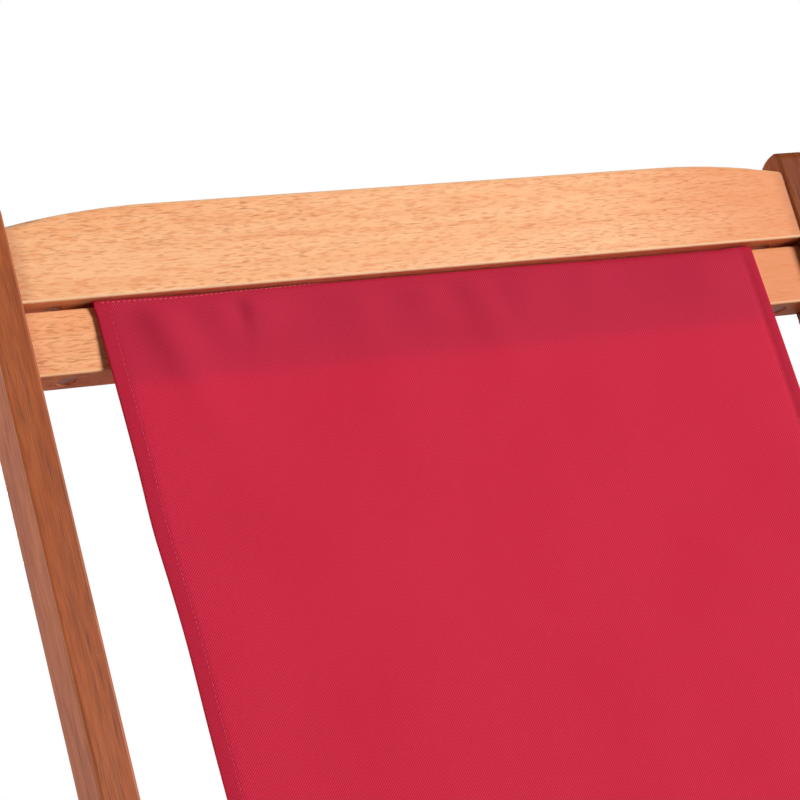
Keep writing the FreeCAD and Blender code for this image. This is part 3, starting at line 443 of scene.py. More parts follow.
@dataclass(frozen=True)
class ClothFinish:
    """Dyed cotton twill that lets a little light through."""

    name: str
    lit: Colour
    deep: Colour
    slub: Colour
    through: Colour
    through_share: float = 0.36
    flat_width: float = 464 * MM
    doubled: float = 19.5 * MM
    doubled_blur: float = 0.8 * MM
    # Painted shade on the doubled hem band.
    hem_shade_share: float = 0.30
    pitch: float = 1.15 * MM
    steep: float = math.radians(46.0)
    stray: float = 0.45
    rib_share: float = 0.60
    weave_span: Span = (0.15, 0.85)
    cloud_from: float = 0.42
    cloud_share: float = 0.5
    slub_share: float = 0.15
    roughness: float = 0.80
    yarn_roughness: float = 0.15
    gloss: float = 0.12
    sheen: float = 0.03
    sheen_roughness: float = 0.5
    relief: float = 0.22 * MM
    relief_strength: float = 0.4
    wander: Layer = Layer((90.0, 90.0, 1.0), 1.0)
    yarns: Layer = Layer((260.0, 1500.0, 1.0), 2.0, 0.7)
    slubs: Layer = Layer((190.0, 700.0, 1.0), 0.0, low=0.74, high=0.84)
    clouds: Layer = Layer((14.0, 9.0, 1.0), 2.0)
    uv: str = "cut"

    def material(self) -> Material:
        """Builds the cloth from its place on the flat cut.

        Returns:
            The material.
        """
        made, shader = new_material(self.name)
        place = shader.wire("ShaderNodeUVMap", {"uv_map": self.uv})
        parts = shader.node("ShaderNodeSeparateXYZ", {}, {0: place})
        across, down = Wire(shader, parts.outputs[0]), Wire(shader, parts.outputs[1])
        rib = across * (math.sin(self.steep) / self.pitch) + down * (math.cos(self.steep) / self.pitch)
        rib = rib + (shader.noise(place, self.wander) - 0.5) * self.stray
        ribs = (rib * (2 * math.pi)).sine() * 0.5 + 0.5
        yarn = shader.noise(place, self.yarns)
        weave = ribs * self.rib_share + yarn * (1 - self.rib_share)
        cloud = (shader.noise(place, self.clouds) - self.cloud_from).most(0.0)
        inset = self.flat_width / 2 - self.doubled
        hem = (across - self.flat_width / 2).size().step(inset - self.doubled_blur, inset + self.doubled_blur)
        colour = shader.mix(weave.step(*self.weave_span), self.deep, self.lit)
        colour = shader.mix(cloud * self.cloud_share, colour, self.deep)
        colour = shader.mix(shader.mask(place, self.slubs) * self.slub_share, colour, self.slub)
        # Painted shade: the doubled hem band is darkened, standing in for less light coming through two layers of
        # cloth.
        colour = shader.mix(hem * self.hem_shade_share, colour, self.deep)
        face = shader.wire("ShaderNodeBsdfPrincipled", {}, {
            "Base Color": colour, "Roughness": self.roughness + (yarn - 0.5) * self.yarn_roughness,
            "Specular IOR Level": self.gloss, "Sheen Weight": self.sheen, "Sheen Roughness": self.sheen_roughness,
            "Sheen Tint": self.slub, "Normal": shader.bump(weave, self.relief, self.relief_strength)})
        glow = shader.wire("ShaderNodeBsdfTranslucent", {}, {"Color": self.through})
        shader.end(shader.wire("ShaderNodeMixShader", {}, {0: self.through_share, 1: face, 2: glow}))
        return made


@dataclass(frozen=True)
class ThreadFinish:
    """Sewing thread, twisted from two plies."""

    name: str
    lit: Colour
    deep: Colour
    roughness: float = 0.7
    ply_roughness: float = 0.2
    gloss: float = 0.3
    plies: Layer = Layer((1800.0, 1800.0, 1800.0), 1.0, low=0.3, high=0.7)

    def material(self) -> Material:
        """Builds the thread.

        Returns:
            The material.
        """
        made, shader = new_material(self.name)
        twist = shader.noise(shader.wire("ShaderNodeTexCoord", {}, {}, "Object"), self.plies)
        colour = shader.mix(twist.step(self.plies.low, self.plies.high), self.deep, self.lit)
        shader.surface({"Base Color": colour, "Roughness": self.roughness + (twist - 0.5) * self.ply_roughness,
                        "Specular IOR Level": self.gloss})
        return made


@dataclass(frozen=True)
class SteelFinish:
    """Plated steel with fine turning marks and dull spots."""

    name: str
    bright: Colour
    dull: Colour
    roughness: float
    metal: float = 1.0
    spot_roughness: float = 0.25
    relief: float = 0.05 * MM
    relief_strength: float = 0.3
    spots: Layer = Layer((420.0, 420.0, 420.0), 3.0, 0.6, low=0.35, high=0.75)
    marks: Layer = Layer((2600.0, 260.0, 260.0), 1.0)

    def material(self) -> Material:
        """Builds the metal.

        Returns:
            The material.
        """
        made, shader = new_material(self.name)
        place = shader.wire("ShaderNodeTexCoord", {}, {}, "Object")
        spots = shader.noise(place, self.spots)
        colour = shader.mix(spots.step(self.spots.low, self.spots.high), self.bright, self.dull)
        marks = shader.bump(shader.noise(place, self.marks), self.relief, self.relief_strength)
        shader.surface({"Base Color": colour, "Metallic": self.metal,
                        "Roughness": self.roughness + (spots - 0.5) * self.spot_roughness, "Normal": marks})
        return made


# The pale edge colour paints worn edges, partly a painted highlight, and the painted highlight on the lower front
# edges; the pore colour also paints shade where the rails meet the stiles.
RAIL_WOOD = WoodFinish("rail_wood", pale=paint(255, 194, 143), warm=paint(253, 183, 128), dark=paint(228, 134, 76),
                       pore=paint(158, 84, 46), wear_and_highlight=paint(255, 218, 172), end_share=0.70)
WARM_RAIL_WOOD = replace(RAIL_WOOD, name="warm_rail_wood", pale=paint(254, 182, 129), warm=paint(250, 170, 113),
                         dark=paint(222, 130, 72), pore=paint(150, 78, 42), wear_and_highlight=paint(255, 206, 156), end_share=0.85)
STILE_WOOD = WoodFinish("stile_wood", pale=paint(181, 95, 47), warm=paint(169, 84, 37), dark=paint(125, 55, 21),
                        pore=paint(94, 42, 18), wear_and_highlight=paint(190, 110, 64), dash_share=0.40, streak_share=0.50,
                        pore_share=0.45, end_share=0.0, joint_shade_share=0.0, lower_edge_highlight_share=0.0, roughness=0.40,
                        gloss=0.24, relief=0.15 * MM, dashes=replace(RAIL_WOOD.dashes, waves=(45.0, 850.0, 850.0)),
                        specks=replace(RAIL_WOOD.specks, waves=(45.0, 1050.0, 1050.0)))
DARK_STILE_WOOD = replace(STILE_WOOD, name="dark_stile_wood", pale=paint(155, 81, 41), warm=paint(143, 71, 33),
                          dark=paint(104, 46, 18), pore=paint(78, 35, 14), wear_and_highlight=paint(160, 90, 48), gloss=0.08)
CRIMSON_TWILL = ClothFinish("crimson_twill", lit=paint(235, 71, 105), deep=paint(195, 16, 45),
                            slub=paint(240, 92, 118), through=paint(236, 84, 115))
SEAM_THREAD = ThreadFinish("seam_thread", lit=paint(230, 96, 112), deep=paint(208, 66, 86))
HEM_THREAD = ThreadFinish("hem_thread", lit=paint(240, 92, 118), deep=paint(220, 62, 90))
ZINC = SteelFinish("zinc_plate", bright=paint(205, 206, 208), dull=paint(160, 160, 158), roughness=0.34)
NUT_STEEL = SteelFinish("dull_nut_steel", bright=paint(218, 192, 176), dull=paint(188, 164, 148), roughness=0.60,
                        metal=0.35)


def ease(value: Array, low: float, high: float) -> Array:
    """Smooth step from 0 at the low value to 1 at the high one."""
    share = np.clip((value - low) / (high - low), 0, 1)
    return share * share * (3 - 2 * share)


def unit(ways: Array) -> Array:
    """Vectors of length 1 with the same ways."""
    return ways / np.linalg.norm(ways, axis=-1, keepdims=True)


def lengths(line: Array) -> Array:
    """Lengths along a line, from its start to each of its points."""
    return np.concatenate([[0.0], np.cumsum(np.linalg.norm(np.diff(line, axis=0), axis=1))])


def sample(at: Array, length: Array, values: Array) -> Array:
    """Values along a line, at some lengths from its start."""
    return np.stack([np.interp(at, length, column) for column in values.T], axis=-1)


@dataclass
class Walk:
    """Line drawn in a plane by straight runs and arcs, with its points kept close enough to look smooth."""

    place: Array
    heading: float
    points: list[Array] = field(default_factory=list)
    arc_steps: int = 3

    def __post_init__(self) -> None:
        """Starts the line at its first place."""
        self.place = np.array(self.place, float)
        self.points = [self.place]

    def straight(self, length: float, step: float) -> None:
        """Goes on ahead.

        Args:
            length: distance to go.
            step: most distance between points.
        """
        ahead = np.array([math.cos(self.heading), math.sin(self.heading)])
        count = max(1, math.ceil(length / step))
        self.points += [self.place + ahead * length * i / count for i in range(1, count + 1)]
        self.place = self.points[-1]

    def arc(self, radius: float, turn: float, step: float) -> None:
        """Goes round a bend.

        Args:
            radius: radius of the bend.
            turn: change of heading, to the left if positive.
            step: most distance between points.
        """
        side = math.copysign(1.0, turn)
        aside = np.array([-math.sin(self.heading), math.cos(self.heading)]) * side
        centre = self.place + aside * radius
        count = max(self.arc_steps, math.ceil(radius * abs(turn) / step))
        for i in range(1, count + 1):
            heading = self.heading + turn * i / count
            out = np.array([math.sin(heading), -math.cos(heading)]) * side
            self.points.append(centre + out * radius)
        self.place = self.points[-1]
        self.heading += turn


@dataclass
class Sling:
    """The cloth: a sleeve round each rod, doubled through each slot, and a long sagging panel with turned hems."""

    width: float = 444 * MM
    thick: float = 0.55 * MM
    hem: float = 9.5 * MM
    hem_gap: float = 0.35 * MM
    stitch_line: float = 8.2 * MM
    head_slot: float = 794.9 * MM
    knee_slot: float = 270.5 * MM
    head_lean: float = math.radians(3.0)
    knee_dip: float = math.radians(6.0)
    sag_radius: float = 285 * MM
    arris: float = 3 * MM
    slot_half: float = 1.5 * MM
    layer: float = 0.6 * MM
    rail_front: float = 9 * MM
    rail_rear: float = -16 * MM
    rod_depth: float = 21.706 * MM
    loop: float = 5.8 * MM
    tail: float = 8 * MM
    ear: float = 0.8 * MM
    ear_length: float = 3 * MM
    spread: float = 4 * MM
    spread_span: Span = (100 * MM, 450 * MM)
    tail_trim: float = 1.2 * MM
    sleeve: float = 60 * MM
    # Height, middle, drift, width to the left and to the right, and reach: in mm, but for the drift.
    head_folds: tuple[tuple[float, ...], ...] = (
        (4.0, -189, 0.27, 11, 16, 60), (2.4, -151, 0.3, 15, 9, 22), (3.8, -127, -0.1, 5.5, 20, 24),
        (1.9, -60, 0.0, 16, 14, 28), (2.4, -18, 0.2, 13, 17, 30), (2.5, 17, 0.2, 10, 13, 45),
        (2.7, 50, 0.0, 13, 23, 26), (1.7, 96, 0.0, 12, 20, 22), (1.9, 183, 0.0, 20, 18, 30))
    # Height, middle and reach, in mm.
    edge_waves: tuple[Place, ...] = ((-2.0, 130, 25), (-0.3, 20, 12), (1.8, 200, 35))
    fold_fade: float = 8 * MM
    knee_fold: float = 0.9 * MM
    knee_fold_reach: float = 45 * MM
    knee_fold_pitch: float = 63 * MM
    knee_fold_middle: float = 20 * MM
    knee_fold_stray: Span = (0.8, 9.0)
    slow_wave: float = 1.0 * MM
    slow_lengths: Span = (0.52, 0.42)
    slow_start: float = 0.4
    swell_head: Span = (20 * MM, 160 * MM)
    swell_knee: Span = (20 * MM, 120 * MM)
    edge_from: float = 120 * MM
    groove: float = 0.22 * MM
    groove_more: float = 0.38 * MM
    groove_span: float = 100 * MM
    groove_half: float = 2.5 * MM
    pucker: float = 0.22 * MM
    pucker_pitch: float = 14 * MM
    pucker_stray: Span = (2.5, 31 * MM)
    puff_all: float = 0.2 * MM
    puff_left: float = 1.1 * MM
    left_from: float = 150 * MM
    tight: float = 1.25 * MM
    tail_tight: float = 0.45 * MM
    tight_from: Span = (50 * MM, 130 * MM)
    tight_to: Span = (199 * MM, 211 * MM)
    bend_middle: float = 3.5 * MM
    bend_reach: float = 4 * MM
    bend_length: float = 8 * MM
    tail_bend: float = 7 * MM
    fine_step: float = 0.9 * MM
    panel_step: float = 4.5 * MM
    fine_from: float = -80 * MM
    border: float = 4 * MM
    hem_columns: int = 5
    turn_columns: int = 7
    border_columns: int = 10
    right_columns: int = 54
    left_columns: int = 46
    knee_rows: int = 4
    stitch_pitch: float = 3.2 * MM
    stitch_length: float = 2.5 * MM
    thread: float = 0.34 * MM
    hem_thread: float = 0.20 * MM
    panel_start: int = field(init=False)
    panel_end: int = field(init=False)
    panel_length: float = field(init=False)
    tail_end: float = field(init=False)
    flat_size: Span = field(init=False)

    def end_profile(self, lean: float) -> Array:
        """Line of the cloth at one end: tail, slot, sleeve round the rod, slot again and the bend into the panel.

        Args:
            lean: how far the panel leaves the frame, in radians.

        Returns:
            Points as (out of the face, along the frame from the slot).
        """
        edge = self.slot_half + self.arris
        inner, outer = edge - self.layer, edge + self.layer
        front, rear = self.rail_front - self.arris, self.rail_rear + self.arris
        gap = np.hypot(rear + self.rod_depth, edge)
        reach = inner + self.loop
        swing = math.asin(reach / gap) - math.atan2(edge, rear + self.rod_depth)
        bridge = math.sqrt(gap ** 2 - reach ** 2)
        walk = Walk((front + inner, -edge - self.tail), math.pi / 2)
        walk.straight(self.tail, self.fine_step)
        walk.arc(inner, math.pi / 2, self.fine_step)
        walk.straight(front - rear, self.panel_step)
        walk.arc(inner, swing, self.fine_step)
        walk.straight(bridge, self.fine_step)
        walk.arc(self.loop, -math.pi - 2 * swing, self.fine_step)
        walk.straight(bridge, self.fine_step)
        walk.arc(inner, swing, self.fine_step)
        walk.straight(front - rear, self.panel_step)
        walk.arc(outer, -math.pi / 2 + lean, self.fine_step)
        return np.array(walk.points)

    def centreline(self) -> Array:
        """Line of the whole cloth, from the tail at the head to the tail at the knee.

        Returns:
            Points as Y and Z.
        """
        head = self.end_profile(self.head_lean)
        knee = self.end_profile(self.knee_dip)
        head_line = FRAMES.on_back(self.head_slot + head[:, 1], head[:, 0])
        knee_line = FRAMES.on_seat(self.knee_slot + knee[:, 1], knee[:, 0])
        start, end = head_line[-1], knee_line[-1]
        down = self.panel_way(self.head_lean, FRAMES.on_back)
        rear = self.panel_way(self.knee_dip, FRAMES.on_seat)
        run = np.linalg.solve(np.column_stack([down, -rear]), end - start)
        turn = math.acos(float(np.clip(down @ -rear, -1, 1)))
        trim = self.sag_radius * math.tan(turn / 2)
        walk = Walk(start, math.atan2(down[1], down[0]))
        walk.straight(float(run[0]) - trim, self.panel_step)
        walk.arc(self.sag_radius, -turn, self.panel_step)
        walk.straight(float(run[1]) - trim, self.panel_step)
        self.panel_start = len(head_line) - 1
        self.panel_end = self.panel_start + len(walk.points) - 1
        panel = np.array(walk.points)
        self.panel_length = float(lengths(panel)[-1])
        return np.vstack([head_line[:-1], panel, knee_line[::-1][1:]])

    @staticmethod
    def panel_way(lean: float, place: Any) -> Array:
        """Way in which the panel leaves an end, as Y and Z."""
        ends = place(np.array([0.0, -math.cos(lean)]), np.array([0.0, math.sin(lean)]))
        return ends[1] - ends[0]

    def rows(self) -> tuple[Array, Array, Array]:
        """Line of the cloth with its outward way and its length so far.

        Returns:
            Points, outward ways (both Y and Z), and lengths from the start.
        """
        line = self.centreline()
        steps = np.diff(line, axis=0)
        ways = unit(np.vstack([steps[:1], unit(steps[:-1]) + unit(steps[1:]), steps[-1:]]))
        out = np.column_stack([ways[:, 1], -ways[:, 0]])
        length = lengths(line)
        self.tail_end = self.tail + self.tail_bend - float(length[self.panel_start])
        return line, out, length

    def profile(self) -> tuple[Array, Array, Array]:
        """Cross section of the cloth from one turned hem to the other.

        Returns:
            Places across, offsets out of the panel, and places on the flat cut.
        """
        half, fold = self.width / 2, (self.thick + self.hem_gap) / 2
        inset = half - self.hem - self.border
        inner = np.linspace(half - self.hem, half - fold, self.hem_columns)
        bend = np.radians(np.linspace(-90, 90, self.turn_columns))[1:-1]
        panel = np.linspace(half - fold, inset, self.border_columns)
        middle = np.concatenate([np.linspace(inset, self.fine_from, self.right_columns)[1:],
                                 np.linspace(self.fine_from, -inset, self.left_columns)[1:-1]])
        right_x = np.concatenate([inner, half - fold + fold * np.cos(bend), panel])
        right_out = np.concatenate([np.full(len(inner), -2 * fold), fold * np.sin(bend) - fold, np.zeros(len(panel))])
        x = np.concatenate([right_x, middle, -right_x[::-1]])[::-1]
        out = np.concatenate([right_out, np.zeros(len(middle)), right_out[::-1]])[::-1]
        return x, out, lengths(np.column_stack([x, out]))

    def ripple(self, x: Array, below: Array, left: Array) -> Array:
        """Small folds where the cloth leaves the slots, a slow wave over the panel and puckers along the hems.

        Args:
            x: places across the chair.
            below: lengths down from the end of the head's bend.
            left: lengths left to the start of the knee's bend.

        Returns:
            Distances out of the panel.
        """
        half, turn = self.width / 2, 2 * math.pi
        fade_in = ease(below, 0.0, self.fold_fade) * ease(left, 0.0, self.fold_fade)
        folds = np.zeros(np.broadcast(x, below).shape)
        for height, middle, drift, left_wide, right_wide, reach in self.head_folds:
            aside = (x - drift * below) / MM - middle
            wide = np.where(aside < 0, left_wide, right_wide)
            folds += height * MM * np.exp(-(aside / wide) ** 2 - (below / MM / reach) ** 2)
        stray, stray_waves = self.knee_fold_stray
        knee_turn = turn * (x - self.knee_fold_middle) / self.knee_fold_pitch + stray * np.sin(stray_waves * x)
        knee_folds = self.knee_fold * (0.5 + 0.5 * np.cos(knee_turn)) * np.exp(-(left / self.knee_fold_reach) ** 2)
        across, down = self.slow_lengths
        slow = np.sin(turn * (x + half) / across) * np.sin(math.pi * below / down + self.slow_start)
        swell = self.slow_wave * ease(below, *self.swell_head) * ease(left, *self.swell_knee)
        edge = sum(height * MM * np.exp(-((below / MM - middle) / reach) ** 2)
                   for height, middle, reach in self.edge_waves)
        beside = np.exp(-((np.abs(x) - half + self.stitch_line) / self.groove_half) ** 2)
        groove = self.groove + self.groove_more * ease(x, 0.0, self.groove_span)
        stray, stray_length = self.pucker_stray
        pucker_turn = turn * below / self.pucker_pitch + stray * np.sin(below / stray_length)
        pucker = self.pucker * np.sin(pucker_turn) - groove
        return fade_in * (folds + knee_folds + slow * swell + pucker * beside + edge * ease(-x, self.edge_from, half))

    def drape(self, x: Array, below: Array, left: Array) -> tuple[Array, Array]:
        """How the cloth strays from its plain shape; at the head it is loose at the left and tight at the right.

        Args:
            x: places across the chair.
            below: lengths down from the end of the head's bend.
            left: lengths left to the start of the knee's bend.

        Returns:
            Shifts across the chair, and distances out of the cloth.
        """
        half = self.width / 2
        at_left = ease(-x, self.left_from, half)
        tight = ease(x, *self.tight_from) * (1 - ease(x, *self.tight_to))
        bend = np.exp(-((below + self.bend_middle) / self.bend_reach) ** 2) * (below > -self.bend_length)
        puff = (self.puff_all + self.puff_left * at_left - self.tight * tight) * bend
        pull = self.tail_tight * tight * (below < self.tail_end)
        ear = self.ear * np.exp(-(below / self.ear_length) ** 2) * at_left
        wide = self.spread * (1 - ease(below, *self.spread_span)) * ease(x, 0.0, half)
        tail = self.tail_trim * x / half * (below < -self.sleeve)
        wave = self.ripple(x, below, left) * ((below >= 0) & (left >= 0))
        return wide - ear - tail, wave + puff + pull

    def spots(self, x: Array, below: Array) -> tuple[Array, Array]:
        """Places on the middle of the cloth.

        Args:
            x: places across the chair.
            below: lengths down from the end of the head's bend.

        Returns:
            Points and the ways out of the cloth, one row a place.
        """
        line, out, length = self.rows()
        start = length[self.panel_start]
        aside, lift = self.drape(x, below, length[self.panel_end] - start - below)
        places = np.column_stack([x + aside, sample(start + below, length, line)])
        outward = unit(np.column_stack([np.zeros(len(x)), sample(start + below, length, out)]))
        return places + outward * lift[:, None], outward

    def surface(self) -> tuple[Array, Array]:
        """Points of the whole cloth.

        Returns:
            Points and their places on the flat cut, both by row and column.
        """
        line, out, length = self.rows()
        x, offset, flat = self.profile()
        below = length - length[self.panel_start]
        aside, lift = self.drape(x[None, :], below[:, None], (length[self.panel_end] - length)[:, None])
        points = np.empty((len(line), len(x), 3))
        points[:, :, 0] = x[None, :] + aside
        points[:, :, 1:] = line[:, None, :] + out[:, None, :] * (offset[None, :] + lift)[:, :, None]
        return points, np.stack(np.broadcast_arrays(flat[None, :], length[:, None]), axis=2)

    def build(self, finish: ClothFinish) -> Piece:
        """Makes the cloth.

        Args:
            finish: its finish.

        Returns:
            The piece.
        """
        points, cut = self.surface()
        rows, columns = points.shape[:2]
        index = np.arange(rows * columns).reshape(rows, columns)
        quads = np.stack([index[:-1, :-1], index[:-1, 1:], index[1:, 1:], index[1:, :-1]], axis=2).reshape(-1, 4)
        mesh = bpy.data.meshes.new("sling_cloth")
        mesh.from_pydata(points.reshape(-1, 3).tolist(), [], quads.tolist())
        layer = mesh.uv_layers.new(name=finish.uv)
        layer.data.foreach_set("uv", cut.reshape(-1, 2)[quads.ravel()].astype(np.float32).ravel())
        mesh.shade_smooth()
        mesh.materials.append(finish.material())
        piece = put("sling_cloth", mesh)
        solid = piece.modifiers.new("thickness", "SOLIDIFY")
        solid.thickness = self.thick
        solid.offset = 0.0
        solid.use_even_offset = True
        self.flat_size = (float(cut[0, -1, 0]), float(cut[-1, 0, 1]))
        return piece


@dataclass
class Stitching:
    """Rows of thread on the sling, each stitch a thin bead that dips at both ends."""

    sling: Sling
    sides: int = 6
    rings: tuple[float, ...] = (0.0, 0.15, 0.5, 0.85, 1.0)
    samples: int = 400
    bead_end: float = 0.45
    bead_rise: float = 0.9
    bead_sink: float = 0.5
    seam_margin: float = 2 * MM
    knee_seam_drop: float = 2 * MM
    head_seam_way: tuple[tuple[float, ...], tuple[float, ...]] = (
        (-222 * MM, -180 * MM, -160 * MM, -140 * MM, -110 * MM, -90 * MM, -60 * MM),
        (-2.6 * MM, -2.2 * MM, -2.6 * MM, -3.4 * MM, -4.0 * MM, -5.0 * MM, -9.0 * MM))

    def bead(self, start: Array, end: Array, out: Array,
             radius: float) -> tuple[Array, list[tuple[int, ...]]]:
        """One stitch.

        Args:
            start: where the thread leaves the cloth.
            end: where it goes back in.
            out: way out of the cloth.
            radius: radius of the thread.

        Returns:
            Points, and faces as numbers of them.
        """
        aside = np.cross(unit(end - start), out)
        angles = np.arange(self.sides) * 2 * math.pi / self.sides
        points = []
        for share in self.rings:
            rise = math.sin(math.pi * share)
            size = radius * (self.bead_end + (1 - self.bead_end) * math.sqrt(rise))
            centre = start + (end - start) * share + out * radius * (self.bead_rise * rise - self.bead_sink)
            points += [centre + size * (math.cos(a) * aside + math.sin(a) * out) for a in angles]
        n = self.sides
        faces = [(r * n + i, r * n + (i + 1) % n, (r + 1) * n + (i + 1) % n, (r + 1) * n + i)
                 for r in range(len(self.rings) - 1) for i in range(n)]
        faces.append(tuple(range(n))[::-1])
        faces.append(tuple(range((len(self.rings) - 1) * n, len(self.rings) * n)))
        return np.array(points), faces

    def build(self, name: str, lines: Lines, finish: ThreadFinish,
              radius: float) -> Piece:
        """Makes rows of stitches.

        Args:
            name: the piece's name.
            lines: for each row, its points and the ways out of the cloth there.
            finish: the thread's finish.
            radius: radius of the thread.

        Returns:
            The piece.
        """
        pitch, stitch = self.sling.stitch_pitch, self.sling.stitch_length
        points, faces, count = [], [], 0
        for line, outs in lines:
            length = lengths(line)
            for first in np.arange(pitch / 2, length[-1] - stitch, pitch):
                start, end = (sample(at, length, line) for at in (first, first + stitch))
                bead, sides = self.bead(start, end, unit(sample(first, length, outs)), radius)
                points.append(bead)
                faces += [tuple(count + i for i in side) for side in sides]
                count += len(bead)
        mesh = bpy.data.meshes.new(name)
        mesh.from_pydata(np.vstack(points).tolist(), [], faces)
        mesh.shade_smooth()
        mesh.materials.append(finish.material())
        return put(name, mesh)

    def hem_lines(self) -> Lines:
        """Stitch lines down both hems, on the face and on the back of the cloth.

        Returns:
            For each line, its points and the ways out of the cloth there.
        """
        sling = self.sling
        below = np.linspace(0.0, sling.panel_length, self.samples)
        lines = []
        for side in (-1, 1):
            line, outward = sling.spots(np.full(self.samples, side * (sling.width / 2 - sling.stitch_line)), below)
            lines.append((line + outward * sling.thick / 2, outward))
            lines.append((line - outward * (1.5 * sling.thick + sling.hem_gap), -outward))
        return lines

    def sleeve_seam(self, places: Sequence[float], below: Sequence[float]) -> Lines:
        """Stitch line that closes a sleeve; the one at the head runs askew and shows only at the left.

        Args:
            places: places across the chair.
            below: lengths down from the end of the head's bend at those places.

        Returns:
            One line: its points and the ways out of the cloth there.
        """
        half = self.sling.width / 2 - self.seam_margin
        x = np.linspace(-half, half, self.samples)
        line, outward = self.sling.spots(x, np.interp(x, places, below))
        return [(line + outward * self.sling.thick / 2, outward)]


@dataclass
class WoodenFrame:
    """One frame of the chair: its CAD pieces with their finishes."""

    body: Body
    rails: tuple[str, ...]
    stiles: tuple[str, ...]
    across: Grain
    along: Grain
    warm_rails: tuple[str, ...] = ()
    dark_stiles: tuple[str, ...] = ()
    zinc: tuple[str, ...] = ()
    nuts: tuple[str, ...] = ()

    def dress(self, nodes: dict[str, Piece], zinc: Material,
              nut_steel: Material) -> None:
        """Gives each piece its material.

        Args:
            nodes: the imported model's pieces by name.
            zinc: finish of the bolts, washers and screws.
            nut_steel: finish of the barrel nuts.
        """
        rail_wood = RAIL_WOOD.material(self.across)
        stile_wood = STILE_WOOD.material(self.along)
        warm_wood = WARM_RAIL_WOOD.material(self.across) if self.warm_rails else rail_wood
        dark_wood = DARK_STILE_WOOD.material(self.along) if self.dark_stiles else stile_wood
        for names, material, slot in ((self.rails, rail_wood, Slot.RAIL_WOOD),
                                      (self.warm_rails, warm_wood, Slot.RAIL_WOOD),
                                      (self.stiles, stile_wood, Slot.STILE_WOOD),
                                      (self.dark_stiles, dark_wood, Slot.STILE_WOOD),
                                      (self.zinc, zinc, Slot.ZINC_STEEL), (self.nuts, nut_steel, Slot.NUT_STEEL)):
            for name in names:
                piece = nodes[name]
                piece.data.materials.clear()
                piece.data.materials.append(material)
                LOG.info("%s on %s: %s", name, self.body.value, material.name)


BACK_FRAME = WoodenFrame(
    Body.BACK, ("head_rail", "foot_rail", "head_rod"), ("back_stile_left",), Grain.ACROSS_BACK, Grain.ALONG_BACK,
    warm_rails=("head_sling_rail",), dark_stiles=("back_stile_right",),
    zinc=("head_joint_bolts", "foot_rail_screws", "seat_pivot_bolts", "seat_pivot_washers", "seat_pivot_spacers",
          "seat_pivot_nuts", "prop_pivot_bolts", "prop_pivot_washers", "prop_pivot_spacers", "prop_pivot_nuts"),
    nuts=("head_barrel_nuts",))
SEAT_FRAME = WoodenFrame(
    Body.SEAT, ("knee_rail", "knee_sling_rail", "rear_stretcher", "knee_rod"),
    ("seat_stile_left", "seat_stile_right"), Grain.ACROSS_SEAT, Grain.ALONG_SEAT,
    zinc=("knee_joint_bolts", "stretcher_bolts"), nuts=("knee_barrel_nuts", "stretcher_barrel_nuts"))
PROP_FRAME = WoodenFrame(
    Body.PROP, ("prop_bar",), ("prop_stile_left", "prop_stile_right"), Grain.ACROSS_PROP, Grain.ALONG_PROP,
    zinc=("prop_bar_pins",))


@dataclass(frozen=True)
class Lamp:
    """Square soft lamp."""

    name: str
    place: Place
    width: float
    power: float

    def build(self, aim: Place) -> None:
        """Adds the lamp.

        Args:
            aim: what it points at.
        """
        data = bpy.data.lights.new(self.name, "AREA")
        data.shape = "SQUARE"
        data.size = self.width
        data.energy = self.power
        lamp = put(self.name, data)
        lamp.location = self.place
        lamp.rotation_euler = (Vector(aim) - Vector(self.place)).to_track_quat("-Z", "Y").to_euler()


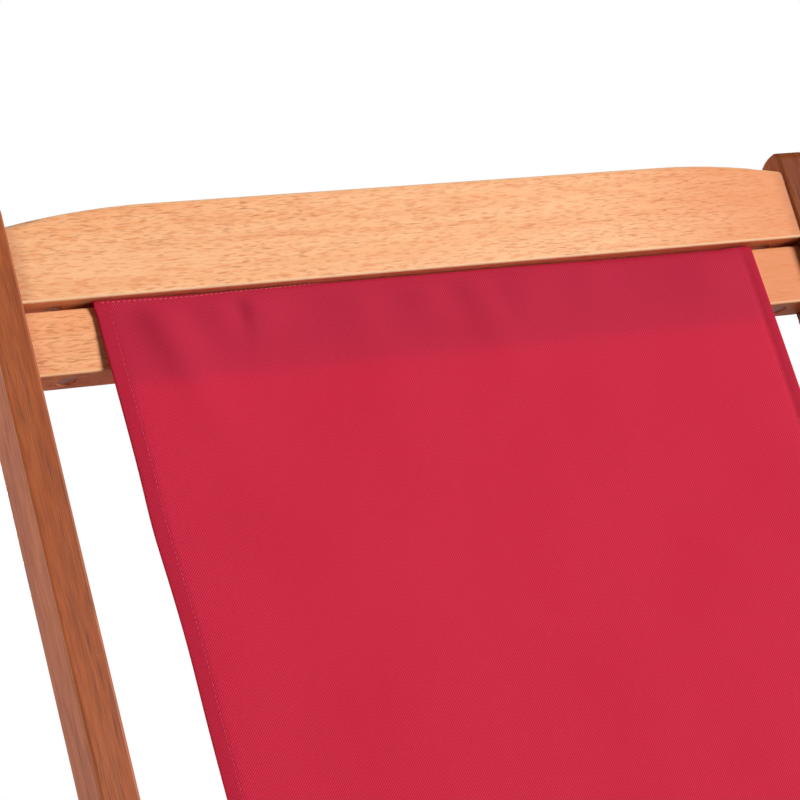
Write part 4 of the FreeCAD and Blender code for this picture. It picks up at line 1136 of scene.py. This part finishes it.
@dataclass
class Studio:
    """Pale floor, a low main lamp at the right, soft lamps at the left and behind, and the camera."""

    lamps: tuple[Lamp, ...] = (Lamp("main_lamp", (7.8, -6.35, 4.95), 4.0, 1520.0),
                               Lamp("left_lamp", (-3.2, 0.9, 1.9), 1.8, 95.0),
                               Lamp("back_lamp", (0.4, 3.0, 0.45), 0.8, 75.0))
    aim: Place = (0.0, 0.1, 0.75)
    ambient: float = 0.08
    sky_gloss: float = 0.25
    floor_gloss: float = 1.0
    floor_glow: float = 0.45
    floor_colour: Colour = (0.45, 0.45, 0.45)
    floor_bounce: Colour = (0.21, 0.21, 0.21)
    floor_reach: float = 30.0
    fade_span: Span = (0.9, 2.0)
    camera_place: Place = (-0.84383, -1.21809, 1.21410)
    camera_yaw: float = math.radians(29.5707)
    camera_pitch: float = math.radians(-11.2730)
    lens: float = 128.348
    sensor: float = 36.0
    clip: Span = (0.05, 100.0)

    @staticmethod
    def rays(shader: Shader) -> tuple[Wire, Wire]:
        """Whether a ray comes from the camera, and whether it comes from gloss."""
        path = shader.node("ShaderNodeLightPath")
        return Wire(shader, path.outputs["Is Camera Ray"]), Wire(shader, path.outputs["Is Glossy Ray"])

    def world(self) -> None:
        """Even light from all around, white where it is seen."""
        world = bpy.data.worlds.new("studio")
        bpy.context.scene.world = world
        world.use_nodes = True
        shader = Shader(world.node_tree)
        camera, gloss = self.rays(shader)
        level = self.ambient + camera * (1 - self.ambient) + gloss * (self.sky_gloss - self.ambient)
        sky = shader.wire("ShaderNodeBackground", {}, {"Color": WHITE, "Strength": level})
        shader.end(sky, "ShaderNodeOutputWorld")

    def floor(self) -> None:
        """Wide pale floor that keeps the chair's shadow and fades to white further off."""
        mesh = bpy.data.meshes.new("floor")
        reach = self.floor_reach
        corners = [(-reach, -reach, 0), (reach, -reach, 0), (reach, reach, 0), (-reach, reach, 0)]
        mesh.from_pydata(corners, [], [(0, 1, 2, 3)])
        material, shader = new_material("pale_floor")
        camera, gloss = self.rays(shader)
        plain = shader.wire("ShaderNodeBsdfDiffuse", {}, {"Color": self.floor_bounce})
        pale = shader.wire("ShaderNodeBsdfDiffuse", {}, {"Color": self.floor_colour})
        glow = shader.wire("ShaderNodeEmission", {}, {"Color": WHITE, "Strength": self.floor_glow})
        white = shader.wire("ShaderNodeEmission", {}, {"Color": WHITE, "Strength": 1.0})
        lit = shader.wire("ShaderNodeAddShader", {}, {0: pale, 1: glow})
        near = shader.wire("ShaderNodeMixShader", {}, {0: camera, 1: plain, 2: lit})
        place = shader.wire("ShaderNodeTexCoord", {}, {}, "Object")
        away = shader.wire("ShaderNodeVectorMath", {"operation": "LENGTH"}, {0: place}, "Value")
        share = away.step(*self.fade_span) * camera.most(gloss * self.floor_gloss)
        shader.end(shader.wire("ShaderNodeMixShader", {}, {0: share, 1: near, 2: white}))
        mesh.materials.append(material)
        floor = put("floor", mesh)

    def camera(self) -> None:
        """Camera at the photograph's viewing angle."""
        data = bpy.data.cameras.new("camera")
        data.lens = self.lens
        data.sensor_width = self.sensor
        data.sensor_fit = "AUTO"
        data.clip_start, data.clip_end = self.clip
        camera = put("camera", data)
        camera.location = self.camera_place
        camera.rotation_euler = (math.pi / 2 + self.camera_pitch, 0.0, -self.camera_yaw)
        bpy.context.scene.camera = camera

    def build(self) -> None:
        """Sets up the whole studio."""
        self.world()
        self.floor()
        for lamp in self.lamps:
            lamp.build(self.aim)
        self.camera()
        bpy.context.scene.view_settings.view_transform = "Standard"


def hang_sling(sling: Sling) -> None:
    """Makes the sling and its stitching, and hangs the head seam on the back and the knee seam on the seat.

    Args:
        sling: the cloth and its sizes.
    """
    cloth = sling.build(CRIMSON_TWILL)
    stitching = Stitching(sling)
    hems = stitching.build("sling_hem_stitches", stitching.hem_lines(), HEM_THREAD, sling.hem_thread)
    head_line = stitching.sleeve_seam(*stitching.head_seam_way)
    knee_line = stitching.sleeve_seam([0.0], [sling.panel_length + stitching.knee_seam_drop])
    head_seam = stitching.build("sling_head_seam", head_line, SEAM_THREAD, sling.thread)
    knee_seam = stitching.build("sling_knee_seam", knee_line, SEAM_THREAD, sling.thread)
    line = sling.centreline()
    for piece in (cloth, hems):
        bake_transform(piece)
    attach(head_seam, Body.BACK.value)
    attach(knee_seam, Body.SEAT.value)
    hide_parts("sling")
    for piece in (cloth, hems, head_seam, knee_seam):
        LOG.info("%s: %d faces", piece.name, len(piece.data.polygons))


def main() -> None:
    """Builds the chair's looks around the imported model."""
    logging.basicConfig(level=logging.INFO, format="%(name)s: %(message)s")
    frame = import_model()
    zinc, nut_steel = ZINC.material(), NUT_STEEL.material()
    for wooden in (BACK_FRAME, SEAT_FRAME, PROP_FRAME):
        wooden.dress(frame["nodes"], zinc, nut_steel)
    hang_sling(Sling())
    Studio().build()


if __name__ == "__main__":
    main()
